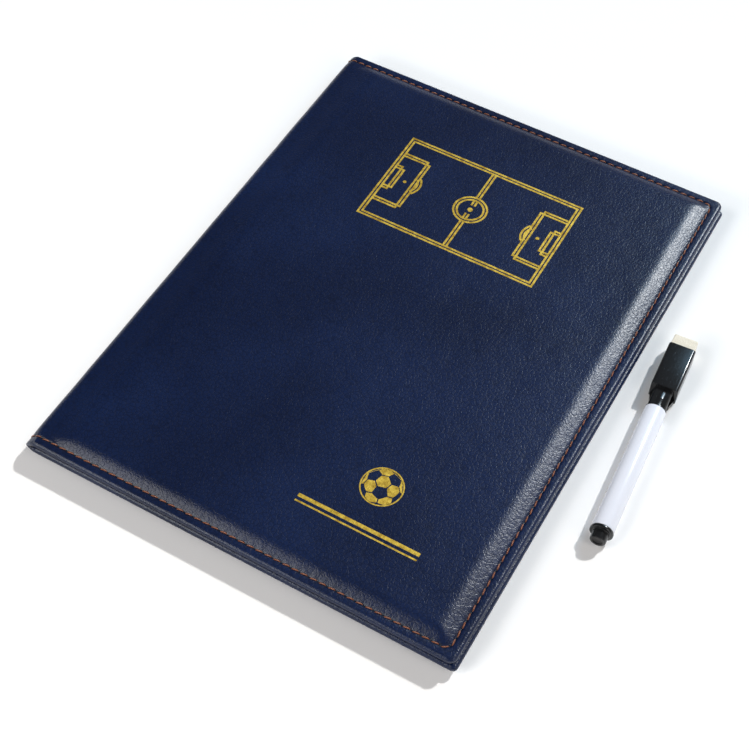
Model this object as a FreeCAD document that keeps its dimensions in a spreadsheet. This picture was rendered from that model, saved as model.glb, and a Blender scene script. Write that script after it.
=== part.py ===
"""Book-style folding tactics board with a soft spine, and the marker that belongs to it.

The board lies closed on its back cover.  X runs from the spine to the fore-edge, Y runs from
the bottom edge to the top edge and Z points up.  The origin is the middle of the resting face.
All lengths are in millimetres and all angles in degrees.
"""

import FreeCAD
import Part
import Sketcher

import os
import re

SIZES = {
    # Covers
    "cover_height": 320.0,
    "cover_width": 234.0,
    "back_overhang": 1.2,
    "skin_thick": 0.9,
    "board_thick": 2.2,
    "steel_thick": 0.5,
    "sheet_thick": 0.5,
    "cover_gap": 1.0,
    "corner_radius": 4.0,
    "back_corner_radius": 2.4,
    "edge_radius": 1.9,
    "turn_in": 14.0,
    "sheet_inset": 3.5,
    # Padding and seam
    "crown_rise": 2.8,
    "crown_run": 9.5,
    "crown_spine_run": 16.0,
    "crown_corner": 5.0,
    "seam_inset": 5.5,
    "seam_width": 1.6,
    "seam_depth": 0.35,
    # Spine fold
    "board_setback": 2.0,
    "lining_thick": 0.8,
    "lining_lap": 12.0,
    "crease_gap": 0.1,
    "glue_gap": 0.1,
    # Marker
    "barrel_diameter": 11.4,
    "barrel_length": 77.0,
    "barrel_wall": 1.0,
    "rim_bevel": 0.4,
    "flange_length": 1.8,
    "stub_diameter": 8.2,
    "stub_length": 4.9,
    "stub_recess_diameter": 5.2,
    "stub_recess_depth": 0.6,
    "plug_spigot": 8.0,
    "section_spigot": 12.0,
    "section_lip": 0.6,
    "collar_diameter": 8.6,
    "collar_length": 9.0,
    "nose_diameter": 5.8,
    "nose_length": 22.0,
    "nib_diameter": 4.0,
    "nib_tail": 5.0,
    "nib_reach": 5.5,
    "nib_tip_diameter": 1.6,
    "reservoir_diameter": 8.8,
    "fit_gap": 0.05,
    # Marker cap
    "sleeve_diameter": 11.0,
    "sleeve_length": 11.2,
    "sleeve_clearance": 0.2,
    "block_width": 14.4,
    "block_thick": 12.0,
    "block_length": 28.6,
    "block_radius": 1.5,
    "foot_length": 4.4,
    "foot_taper": 2.4,
    "foot_thick": 4.0,
    "cap_bore_diameter": 7.4,
    "cap_bore_depth": 30.0,
    "eraser_width": 13.0,
    "eraser_thick": 9.6,
    "eraser_seat": 5.0,
    "eraser_reach": 7.4,
    "eraser_radius": 0.6,
    # Place of the marker beside the board
    "marker_clear": 20.85,
    "marker_y": 16.6,
    "marker_turn": 4.3,
}

# Sizes that follow from the ones above
DERIVED = {
    "stack": "2 * skin_thick + board_thick",
    "panel_depth": "stack + sheet_thick",
    "fold_radius": "panel_depth + cover_gap / 2",
    "half_height": "cover_height / 2",
    "back_width": "cover_width + back_overhang",
    "board_face": "-skin_thick - board_thick",
    "fold_length": "cover_height - 2 * edge_radius",
    "lining_length": "cover_height - 2 * turn_in - 2 * glue_gap",
    "lining_outer": "fold_radius - skin_thick - glue_gap",
    "lining_inner": "lining_outer - lining_thick",
    "crease_trim": "crease_gap / fold_radius * 90 / pi",
    "pad_edge": "seam_inset + seam_width / 2",
    "barrel_radius": "barrel_diameter / 2",
    "bore_radius": "barrel_diameter / 2 - barrel_wall",
    "spigot_radius": "bore_radius - fit_gap",
    "nib_radius": "nib_diameter / 2",
    "nib_hole": "nib_radius + fit_gap",
    "sleeve_start": "section_lip + sleeve_clearance",
    "block_start": "sleeve_start + sleeve_length",
    "block_end": "block_start + block_length",
    "tail_end": "-barrel_length - flange_length - stub_length",
    "marker_x": "back_width / 2 + marker_clear",
}

# The fold turns through half a circle in equal steps, one step at each crease
CREASES = 2
FOLD_STEP = 180.0 / CREASES

# Shares of the padding's run, from the seam to the flat top, and how full its slope is
CROWN_RUNS = (0.0, 0.3, 0.6, 0.8, 0.93, 1.0)
CROWN_FULLNESS = 1.5

doc = FreeCAD.newDocument("TacticsBoard")
sheet = doc.addObject("Spreadsheet::Sheet", "Sizes")
for row, (word, number) in enumerate(SIZES.items(), start=1):
    sheet.set(f"A{row}", word)
    sheet.set(f"B{row}", str(number))
    sheet.setAlias(f"B{row}", word)
doc.recompute()


def linked(text):
    """Return an expression whose words point to the cells of the sheet."""

    def cell(match):
        word = match.group(0)
        if word in DERIVED:
            return f"({linked(DERIVED[word])})"
        return f"Sizes.{word}" if word in SIZES else word

    return re.sub(r"[a-z_]{3,}", cell, str(text))


def size(text):
    """Return the value of an expression."""
    return float(sheet.evalExpression(linked(text)))


def bind(thing, slot, text):
    """Let an expression drive one property."""
    thing.setExpression(slot, linked(text))


def new_body(name):
    """Add an empty body that carries the name of its piece."""
    body = doc.addObject("PartDesign::Body", name)
    body.Label = name
    return body


def new_sketch(body, name, role="XY_Plane", lift="0"):
    """Add a sketch on an origin plane of the body, lifted along the plane's normal."""
    sketch = body.newObject("Sketcher::SketchObject", f"{body.Name}_{name}")
    plane = next(f for f in body.Origin.OriginFeatures if f.Role == role)
    sketch.AttachmentSupport = [(plane, "")]
    sketch.MapMode = "FlatFace"
    sketch.AttachmentOffset = FreeCAD.Placement(
        FreeCAD.Vector(0, 0, size(lift)), FreeCAD.Rotation()
    )
    bind(sketch, "AttachmentOffset.Base.z", lift)
    return sketch


def dimension(sketch, kind, *refs, text):
    """Add a driving dimension whose value comes from an expression."""
    index = sketch.addConstraint(Sketcher.Constraint(kind, *refs, size(text)))
    name = f"d{index}"
    sketch.renameConstraint(index, name)
    bind(sketch, f"Constraints.{name}", text)


def polygon(sketch, corners):
    """Draw a closed outline with sharp corners, each placed by its two coordinates."""
    points = [FreeCAD.Vector(size(x), size(y), 0) for x, y in corners]
    count = len(points)
    for i in range(count):
        sketch.addGeometry(Part.LineSegment(points[i], points[(i + 1) % count]))
    for i in range(count):
        sketch.addConstraint(Sketcher.Constraint("Coincident", i, 2, (i + 1) % count, 1))
    for i, (x, y) in enumerate(corners):
        dimension(sketch, "DistanceX", -1, 1, i, 1, text=x)
        dimension(sketch, "DistanceY", -1, 1, i, 1, text=y)


def rounded_box(sketch, left, right, low, high, left_radius=None, right_radius=None):
    """Draw a rectangle, with its left and right corners rounded where a radius is given."""
    radii = [left_radius, right_radius, right_radius, left_radius]
    places = [(left, low), (right, low), (right, high), (left, high)]
    corners = [FreeCAD.Vector(size(x), size(y), 0) for x, y in places]
    steps = [FreeCAD.Vector(*s) for s in ((1, 0, 0), (0, 1, 0), (-1, 0, 0), (0, -1, 0))]
    cuts = [0.0 if r is None else size(r) for r in radii]
    for i in range(4):
        start = corners[i] + steps[i] * cuts[i]
        end = corners[(i + 1) % 4] - steps[i] * cuts[(i + 1) % 4]
        sketch.addGeometry(Part.LineSegment(start, end))
        sketch.addConstraint(Sketcher.Constraint("Vertical" if i % 2 else "Horizontal", i))
    normal = FreeCAD.Vector(0, 0, 1)
    for i in range(4):
        before = (i - 1) % 4
        if radii[i] is None:
            sketch.addConstraint(Sketcher.Constraint("Coincident", before, 2, i, 1))
            continue
        centre = corners[i] + (steps[i] - steps[before]) * cuts[i]
        turn = FreeCAD.Units.Quantity(f"{180 + 90 * i} deg").getValueAs("rad").Value
        quarter = FreeCAD.Units.Quantity("90 deg").getValueAs("rad").Value
        circle = Part.Circle(centre, normal, cuts[i])
        arc = sketch.addGeometry(Part.ArcOfCircle(circle, turn, turn + quarter))
        sketch.addConstraint(Sketcher.Constraint("Tangent", before, 2, arc, 1))
        sketch.addConstraint(Sketcher.Constraint("Tangent", arc, 2, i, 1))
        dimension(sketch, "Radius", arc, text=radii[i])
    dimension(sketch, "DistanceY", -1, 1, 0, 1, text=low)
    dimension(sketch, "DistanceX", -1, 1, 1, 1, text=right)
    dimension(sketch, "DistanceY", -1, 1, 2, 1, text=high)
    dimension(sketch, "DistanceX", -1, 1, 3, 1, text=left)


def ring_sector(sketch, inner, outer, start, end):
    """Draw a slice of the fold's ring between two angles; its centre lies below the fold line."""
    centre = FreeCAD.Vector(0, -size("fold_radius"), 0)
    normal = FreeCAD.Vector(0, 0, 1)
    degree = FreeCAD.Units.Quantity("1 deg").getValueAs("rad").Value
    ends = []
    for arc, radius in enumerate((inner, outer)):
        circle = Part.Circle(centre, normal, size(radius))
        curve = Part.ArcOfCircle(circle, size(start) * degree, size(end) * degree)
        sketch.addGeometry(curve)
        ends.append((curve.StartPoint, curve.EndPoint))
        dimension(sketch, "Radius", arc, text=radius)
    for side in (0, 1):
        sketch.addGeometry(Part.LineSegment(ends[0][side], ends[1][side]))
    sketch.addConstraint(Sketcher.Constraint("Coincident", 0, 3, 1, 3))
    sketch.addConstraint(Sketcher.Constraint("PointOnObject", 0, 3, -2))
    dimension(sketch, "DistanceY", -1, 1, 0, 3, text="-fold_radius")
    for arc, radius in enumerate((inner, outer)):
        for side, angle in enumerate((start, end)):
            sketch.addConstraint(
                Sketcher.Constraint("Coincident", arc, side + 1, 2 + side, arc + 1)
            )
            dimension(
                sketch, "DistanceX", -1, 1, arc, side + 1, text=f"({radius}) * cos({angle})"
            )


def pad(body, name, sketch, length):
    """Add material over a sketch, along its normal."""
    feature = body.newObject("PartDesign::Pad", f"{body.Name}_{name}")
    feature.Profile = sketch
    bind(feature, "Length", length)
    doc.recompute()
    return feature


def pocket(body, name, sketch, depth):
    """Cut a sketch into the body, against its normal."""
    before = body.Shape.Volume
    feature = body.newObject("PartDesign::Pocket", f"{body.Name}_{name}")
    feature.Profile = sketch
    bind(feature, "Length", depth)
    doc.recompute()
    if body.Shape.Volume >= before:
        raise RuntimeError(f"{feature.Name} removed nothing")
    return feature


def turned(body, name, corners, kind="PartDesign::Revolution"):
    """Turn an outline of radius and height once around the body's Z axis."""
    sketch = new_sketch(body, f"{name}_outline", "XZ_Plane")
    polygon(sketch, corners)
    feature = body.newObject(kind, f"{body.Name}_{name}")
    feature.Profile = sketch
    feature.ReferenceAxis = (sketch, ["V_Axis"])
    feature.Angle = 360.0
    doc.recompute()
    return feature


def rounded(body, name, feature, radius, wanted):
    """Round the edges of a feature that a test on the edge picks."""
    picked = [f"Edge{n}" for n, e in enumerate(feature.Shape.Edges, start=1) if wanted(e)]
    fillet = body.newObject("PartDesign::Fillet", f"{body.Name}_{name}")
    fillet.Base = (feature, picked)
    bind(fillet, "Radius", radius)
    doc.recompute()
    return fillet


def bevelled(body, name, feature, amount, wanted):
    """Bevel the edges of a feature that a test on the edge picks."""
    picked = [f"Edge{n}" for n, e in enumerate(feature.Shape.Edges, start=1) if wanted(e)]
    bevel = body.newObject("PartDesign::Chamfer", f"{body.Name}_{name}")
    bevel.Base = (feature, picked)
    bind(bevel, "Size", amount)
    doc.recompute()
    return bevel


def level(edge, height):
    """Tell whether an edge lies flat at a height."""
    box = edge.BoundBox
    wanted = size(height)
    return abs(box.ZMin - wanted) < 1e-4 and abs(box.ZMax - wanted) < 1e-4


def lofted(body, name, sections, kind):
    """Run one form through a row of sketches."""
    feature = body.newObject(kind, f"{body.Name}_{name}")
    feature.Profile = sections[0]
    feature.Sections = sections[1:]
    feature.Ruled = True
    doc.recompute()
    return feature


def crown_sections(body, name, width, inset, base):
    """Draw the outlines that the padding passes through, from the seam up to the flat top."""
    sections = []
    for number, run in enumerate(CROWN_RUNS):
        climb = 1 - (1 - run) ** CROWN_FULLNESS
        side = f"pad_edge + {run} * crown_run + {inset}"
        reach = f"half_height - ({side})"
        sketch = new_sketch(body, f"{name}_{number}", lift=f"{base} + {climb} * crown_rise")
        rounded_box(
            sketch,
            left=f"seam_width / 2 + {run} * crown_spine_run + {inset}",
            right=f"{width} - ({side})",
            low=f"-({reach})",
            high=reach,
            left_radius=f"crown_corner * (1 + {run})",
            right_radius=f"crown_corner * (1 + {run})",
        )
        sections.append(sketch)
    return sections


def plate(name, lift, thick, left, right, inset, radius=None):
    """Make one flat layer of a cover; it spans the height less an inset at both edges."""
    body = new_body(name)
    outline = new_sketch(body, "outline", lift=lift)
    reach = f"half_height - ({inset})"
    rounded_box(outline, left, right, f"-({reach})", reach, right_radius=radius)
    pad(body, "sheet", outline, thick)
    return body


def make_skin(name, width, corner):
    """Make the leather of one cover: rolled edges, padded crown, seam, hollow and fold end."""
    body = new_body(name)
    outline = new_sketch(body, "outline", lift="-(stack)")
    rounded_box(
        outline, "0", width, "-half_height", "half_height", right_radius=corner
    )
    block = pad(body, "block", outline, "stack")

    def rim(edge):
        flat = level(edge, "0") or level(edge, "-(stack)")
        return flat and edge.BoundBox.XMax > 1.0

    rounded(body, "roll", block, "edge_radius", rim)
    crown = crown_sections(body, "crown", width, "0", "0")
    lofted(body, "padding", crown, "PartDesign::AdditiveLoft")

    seam = new_sketch(body, "seam")
    near = "seam_inset - seam_width / 2"
    far = "pad_edge"
    polygon(
        seam,
        [
            ("-1", f"-half_height + ({near})"),
            (f"{width} - ({near})", f"-half_height + ({near})"),
            (f"{width} - ({near})", f"half_height - ({near})"),
            ("-1", f"half_height - ({near})"),
            ("-1", f"half_height - ({far})"),
            (f"{width} - ({far})", f"half_height - ({far})"),
            (f"{width} - ({far})", f"-half_height + ({far})"),
            ("-1", f"-half_height + ({far})"),
        ],
    )
    pocket(body, "seam_channel", seam, "seam_depth")

    for label, lift, depth, inset, radius in (
        ("panel_room", "-skin_thick", "board_thick", "skin_thick", f"{corner} - skin_thick"),
        ("window", "board_face", "skin_thick", "turn_in", None),
    ):
        room = new_sketch(body, f"{label}_outline", lift=lift)
        reach = f"half_height - {inset}"
        rounded_box(room, "-1", f"{width} - {inset}", f"-({reach})", reach, right_radius=radius)
        pocket(body, label, room, depth)

    hollow = crown_sections(body, "hollow", width, "skin_thick", "-skin_thick")
    lofted(body, "padding_room", hollow, "PartDesign::SubtractiveLoft")

    curl = new_sketch(body, "curl", "XZ_Plane", "-(fold_length) / 2")
    ring_sector(
        curl,
        "fold_radius - skin_thick",
        "fold_radius",
        "90",
        f"90 + {FOLD_STEP / 2} - crease_trim",
    )
    pad(body, "fold_end", curl, "fold_length")
    return body


def make_foam(name, width):
    """Make the foam that fills the padded crown."""
    body = new_body(name)
    sections = crown_sections(body, "pad", width, "skin_thick + glue_gap", "-skin_thick")
    lofted(body, "cushion", sections, "PartDesign::AdditiveLoft")
    return body


def make_lining_flap(name):
    """Make the end of the spine lining: it steps over the panel edge and laps onto the panel."""
    body = new_body(name)
    lap = new_sketch(body, "lap", "XZ_Plane", "-(lining_length) / 2")
    outer = "-skin_thick - glue_gap"
    inner = f"{outer} - lining_thick"
    step = "board_setback - glue_gap"
    end = "board_setback + lining_lap"
    polygon(
        lap,
        [
            ("0", outer),
            (step, outer),
            (step, "board_face"),
            (end, "board_face"),
            (end, "board_face - lining_thick"),
            (f"{step} - lining_thick", "board_face - lining_thick"),
            (f"{step} - lining_thick", inner),
            ("0", inner),
        ],
    )
    pad(body, "strip", lap, "lining_length")
    curl = new_sketch(body, "curl", "XZ_Plane", "-(lining_length) / 2")
    ring_sector(
        curl, "lining_inner", "lining_outer", "90", f"90 + {FOLD_STEP / 2} - crease_trim"
    )
    pad(body, "fold_end", curl, "lining_length")
    return body


def make_cover(side, width):
    """Make all layers of one cover with the outer face up and the fold line at X = 0."""
    window_start = "board_setback + lining_lap + glue_gap"
    window_end = f"{width} - turn_in - glue_gap"
    window_inset = "turn_in + glue_gap"
    corner = "corner_radius" if side == "front" else "back_corner_radius"
    return [
        make_skin(f"{side}_skin", width, corner),
        make_foam(f"{side}_foam", width),
        plate(
            f"{side}_stiffener",
            "board_face",
            "board_thick",
            "board_setback",
            f"{width} - skin_thick - glue_gap",
            "skin_thick + glue_gap",
            "corner_radius",
        ),
        plate(
            f"{side}_adhesive_film",
            "board_face - (skin_thick - steel_thick)",
            "skin_thick - steel_thick",
            window_start,
            window_end,
            window_inset,
        ),
        plate(
            f"{side}_steel_sheet",
            "-(stack)",
            "steel_thick",
            window_start,
            window_end,
            window_inset,
        ),
        plate(
            f"{side}_pitch_sheet",
            "-(panel_depth)",
            "sheet_thick",
            "board_setback",
            f"{width} - sheet_inset",
            "sheet_inset",
            "corner_radius",
        ),
        make_lining_flap(f"{side}_lining_flap"),
    ]


def make_spine():
    """Make the leather and the lining of the soft fold between the two creases."""
    start = f"90 + {FOLD_STEP / 2} + crease_trim"
    end = f"270 - {FOLD_STEP / 2} - crease_trim"
    skin = new_body("spine_skin")
    outer = new_sketch(skin, "leather_outline", "XZ_Plane", "-(fold_length) / 2")
    ring_sector(outer, "fold_radius - skin_thick", "fold_radius", start, end)
    pad(skin, "leather", outer, "fold_length")
    hem = "turn_in - edge_radius"
    for label, lift in (
        ("top_hem", "-(fold_length) / 2"),
        ("bottom_hem", f"fold_length / 2 - ({hem})"),
    ):
        turned_in = new_sketch(skin, f"{label}_outline", "XZ_Plane", lift)
        ring_sector(
            turned_in, "fold_radius - 2 * skin_thick", "fold_radius - skin_thick", start, end
        )
        pad(skin, label, turned_in, hem)
    lining = new_body("spine_lining")
    inner = new_sketch(lining, "lining_outline", "XZ_Plane", "-(lining_length) / 2")
    ring_sector(inner, "lining_inner", "lining_outer", start, end)
    pad(lining, "lining", inner, "lining_length")
    return [skin, lining]


def make_barrel():
    """Make the barrel tube, from its front rim at height zero down to its tail."""
    body = new_body("marker_barrel")
    tube = turned(
        body,
        "tube",
        [
            ("bore_radius", "0"),
            ("barrel_radius", "0"),
            ("barrel_radius", "-barrel_length"),
            ("bore_radius", "-barrel_length"),
        ],
    )

    def outer_rim(edge):
        flat = level(edge, "0") or level(edge, "-barrel_length")
        return flat and edge.BoundBox.XMax > size("bore_radius + barrel_wall / 2")

    bevelled(body, "rims", tube, "rim_bevel", outer_rim)
    return body


def make_tail_plug():
    """Make the tail plug: spigot in the bore, flange on the barrel's end and a short stub."""
    body = new_body("marker_tail_plug")
    flange_end = "-barrel_length - flange_length"
    plug = turned(
        body,
        "plug",
        [
            ("0", "-barrel_length + plug_spigot"),
            ("spigot_radius", "-barrel_length + plug_spigot"),
            ("spigot_radius", "-barrel_length"),
            ("block_thick / 2", "-barrel_length"),
            ("block_thick / 2", flange_end),
            ("stub_diameter / 2", flange_end),
            ("stub_diameter / 2", "tail_end"),
            ("stub_recess_diameter / 2", "tail_end"),
            ("stub_recess_diameter / 2", "tail_end + stub_recess_depth"),
            ("0", "tail_end + stub_recess_depth"),
        ],
    )

    def soft_edge(edge):
        reach = edge.BoundBox.XMax
        flange = reach > size("block_thick / 2") - 1e-3
        stub = level(edge, "tail_end") and reach > size("stub_diameter / 2") - 1e-3
        return (flange and edge.BoundBox.ZLength < 1e-3) or stub

    bevelled(body, "soft_edges", plug, "rim_bevel", soft_edge)
    return body


def make_ink_reservoir():
    """Make the fibre reservoir; the tail of the nib sits in its front end."""
    body = new_body("marker_ink_reservoir")
    back = "-barrel_length + plug_spigot"
    front = "-section_spigot"
    turned(
        body,
        "fibre",
        [
            ("0", back),
            ("reservoir_diameter / 2", back),
            ("reservoir_diameter / 2", front),
            ("nib_hole", front),
            ("nib_hole", f"{front} - nib_tail"),
            ("0", f"{front} - nib_tail"),
        ],
    )
    return body


def make_nib_section():
    """Make the nose: spigot in the barrel, lip on its rim, collar for the cap and taper."""
    body = new_body("marker_nib_section")
    turned(
        body,
        "nose",
        [
            ("nib_hole", "-section_spigot"),
            ("spigot_radius", "-section_spigot"),
            ("spigot_radius", "0"),
            ("sleeve_diameter / 2", "0"),
            ("sleeve_diameter / 2", "section_lip"),
            ("collar_diameter / 2", "section_lip"),
            ("collar_diameter / 2", "section_lip + collar_length"),
            ("nose_diameter / 2", "nose_length"),
            ("nib_hole", "nose_length"),
        ],
    )
    return body


def make_nib():
    """Make the fibre nib with its rounded tip."""
    body = new_body("marker_nib")
    tip = "nose_length + nib_reach"
    turned(
        body,
        "rod",
        [
            ("0", "-section_spigot - nib_tail"),
            ("nib_radius", "-section_spigot - nib_tail"),
            ("nib_radius", f"{tip} - nib_reach / 2"),
            ("nib_tip_diameter / 2", tip),
            ("0", tip),
        ],
    )
    return body


def make_cap():
    """Make the cap: block with a foot, round sleeve, stepped bore and seat for the eraser."""
    body = new_body("marker_cap")
    outline = new_sketch(body, "block_outline", lift="block_start")
    half = "block_width / 2"
    deep = "block_thick / 2"
    rounded_box(outline, f"-({half})", half, f"-({deep})", deep, "block_radius", "block_radius")
    block = pad(body, "block", outline, "block_length")

    def far_rim(edge):
        return level(edge, "block_end")

    bevelled(body, "far_edge", block, "rim_bevel", far_rim)
    turned(
        body,
        "sleeve",
        [
            ("0", "sleeve_start"),
            ("sleeve_diameter / 2", "sleeve_start"),
            ("sleeve_diameter / 2", "block_start + block_radius"),
            ("0", "block_start + block_radius"),
        ],
    )
    foot = new_sketch(body, "foot_outline", "XZ_Plane", f"-({deep})")
    foot_end = "block_start - foot_length"
    wide = f"{half} - block_radius"
    polygon(
        foot,
        [
            (f"-({wide})", "block_start"),
            (f"-({wide}) + foot_taper", foot_end),
            (f"{wide} - foot_taper", foot_end),
            (wide, "block_start"),
        ],
    )
    pad(body, "foot", foot, "foot_thick")
    turned(
        body,
        "bore",
        [
            ("0", "sleeve_start - 1"),
            ("collar_diameter / 2 + fit_gap", "sleeve_start - 1"),
            ("collar_diameter / 2 + fit_gap", "section_lip + collar_length + fit_gap"),
            ("cap_bore_diameter / 2", "nose_length - nib_reach"),
            ("cap_bore_diameter / 2", "cap_bore_depth"),
            ("0", "cap_bore_depth"),
        ],
        "PartDesign::Groove",
    )
    seat = new_sketch(body, "seat_outline", lift="block_end")
    wide = "eraser_width / 2 + fit_gap"
    deep = "eraser_thick / 2 + fit_gap"
    rounded_box(seat, f"-({wide})", wide, f"-({deep})", deep)
    pocket(body, "eraser_room", seat, "eraser_seat")
    return body


def make_cap_eraser():
    """Make the felt eraser that stands in the end of the cap."""
    body = new_body("marker_cap_eraser")
    outline = new_sketch(body, "outline", lift="block_end - eraser_seat")
    half = "eraser_width / 2"
    deep = "eraser_thick / 2"
    rounded_box(
        outline, f"-({half})", half, f"-({deep})", deep, "eraser_radius", "eraser_radius"
    )
    felt = pad(body, "felt", outline, "eraser_seat + eraser_reach")

    def far_rim(edge):
        return level(edge, "block_end + eraser_reach")

    bevelled(body, "soft_end", felt, "rim_bevel", far_rim)
    return body


def place(body, x, y, z, yaw="0", roll="0"):
    """Set a body in the shared frame and keep the place tied to the sheet."""
    body.Placement = FreeCAD.Placement(
        FreeCAD.Vector(size(x), size(y), size(z)),
        FreeCAD.Rotation(size(yaw), 0, size(roll)),
    )
    for axis, text in zip("xyz", (x, y, z)):
        bind(body, f"Placement.Base.{axis}", text)
    if yaw != "0":
        bind(body, "Placement.Rotation.Yaw", yaw)


def main():
    """Build every piece, check it and write it to its own file."""
    fold_line = "-(back_width) / 2"
    front_level = "crown_rise + 2 * fold_radius"
    pieces = []
    for body in make_cover("back", "back_width"):
        place(body, fold_line, "0", "crown_rise", roll="180")
        pieces.append(body)
    for body in make_cover("front", "cover_width"):
        place(body, fold_line, "0", front_level)
        pieces.append(body)
    for body in make_spine():
        place(body, fold_line, "0", front_level)
        pieces.append(body)
    for make in (
        make_barrel,
        make_tail_plug,
        make_ink_reservoir,
        make_nib_section,
        make_nib,
        make_cap,
        make_cap_eraser,
    ):
        body = make()
        place(body, "marker_x", "marker_y", "block_thick / 2", "marker_turn", "-90")
        pieces.append(body)
    doc.recompute()

    for thing in doc.Objects:
        if "Invalid" in thing.State or "Error" in thing.State:
            raise RuntimeError(f"{thing.Name} is not valid")
    os.makedirs("parts", exist_ok=True)
    for body in pieces:
        if body.Shape.isNull() or not body.Shape.isValid() or not body.Shape.Solids:
            raise RuntimeError(f"{body.Label} has no valid solid")
        body.Shape.exportStep(f"parts/{body.Label}.step")


main()
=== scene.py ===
"""Looks of the folding tactics board and its marker.

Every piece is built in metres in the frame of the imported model: X runs from the spine to the
fore-edge, Y from the bottom edge to the top edge and Z up, with the board closed on its back.
"""

from __future__ import annotations

import itertools
import logging
import math
from dataclasses import dataclass, field
from enum import Enum
from typing import Any, Callable, Sequence

import bmesh  # noqa: E402
import bpy  # noqa: E402
import numpy as np  # noqa: E402
from mathutils import Matrix, Quaternion, Vector  # noqa: E402


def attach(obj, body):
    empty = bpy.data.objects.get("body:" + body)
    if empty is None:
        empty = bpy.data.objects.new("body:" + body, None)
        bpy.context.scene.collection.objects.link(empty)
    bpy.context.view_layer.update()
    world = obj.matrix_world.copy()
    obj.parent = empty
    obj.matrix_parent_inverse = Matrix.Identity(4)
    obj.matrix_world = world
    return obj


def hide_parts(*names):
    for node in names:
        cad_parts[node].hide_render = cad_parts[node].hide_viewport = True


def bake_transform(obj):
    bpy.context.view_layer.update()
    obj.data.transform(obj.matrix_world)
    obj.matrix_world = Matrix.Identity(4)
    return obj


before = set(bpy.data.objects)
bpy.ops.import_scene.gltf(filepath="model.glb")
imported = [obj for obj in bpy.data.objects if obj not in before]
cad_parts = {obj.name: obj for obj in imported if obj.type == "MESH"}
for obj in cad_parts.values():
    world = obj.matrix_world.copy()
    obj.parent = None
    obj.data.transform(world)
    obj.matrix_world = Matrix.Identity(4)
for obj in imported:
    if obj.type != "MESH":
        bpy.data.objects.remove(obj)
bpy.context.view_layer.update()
MM = 0.001
TINY = 1e-9
INK = 0.03 * MM
RIPPLE_WAVES = 7
log = logging.getLogger("tactics_board")

Point = tuple[float, float, float]
Colour = tuple[float, float, float]
Pair = tuple[float, float]
Pairs = tuple[Pair, ...]


class Sock:
    """One shader value that takes part in Python expressions."""

    def __init__(self, shader: "Shader", socket: bpy.types.NodeSocket) -> None:
        """Keep the socket and the shader that owns it."""
        self.shader = shader
        self.socket = socket

    def maths(self, operation: str, first: Any, second: Any = None) -> "Sock":
        """Add one Math node.

        Args:
            operation: name of the Math node's operation.
            first: first value or socket.
            second: second value or socket, where the operation takes one.

        Returns:
            The node's result.
        """
        feeds = {0: first} if second is None else {0: first, 1: second}
        return self.shader.node("ShaderNodeMath", {"operation": operation}, feeds)

    def __add__(self, other: Any) -> "Sock":
        """Add a value."""
        return self.maths("ADD", self, other)

    __radd__ = __add__

    def __rsub__(self, other: Any) -> "Sock":
        """Take this away from a value."""
        return self.maths("SUBTRACT", other, self)

    def __mul__(self, other: Any) -> "Sock":
        """Multiply by a value."""
        return self.maths("MULTIPLY", self, other)

    __rmul__ = __mul__

    def step(self, low: float, high: float) -> "Sock":
        """Return a smooth step from 0 at low to 1 at high."""
        return self.shader.node(
            "ShaderNodeMapRange",
            {"interpolation_type": "SMOOTHSTEP"},
            {"Value": self, "From Min": low, "From Max": high},
        )

    def wave(self, length: float) -> "Sock":
        """Return a sine of this value with a given wave length, from 0 to 1."""
        return self.maths("SINE", self * (2 * math.pi / length)) * 0.5 + 0.5


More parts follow.
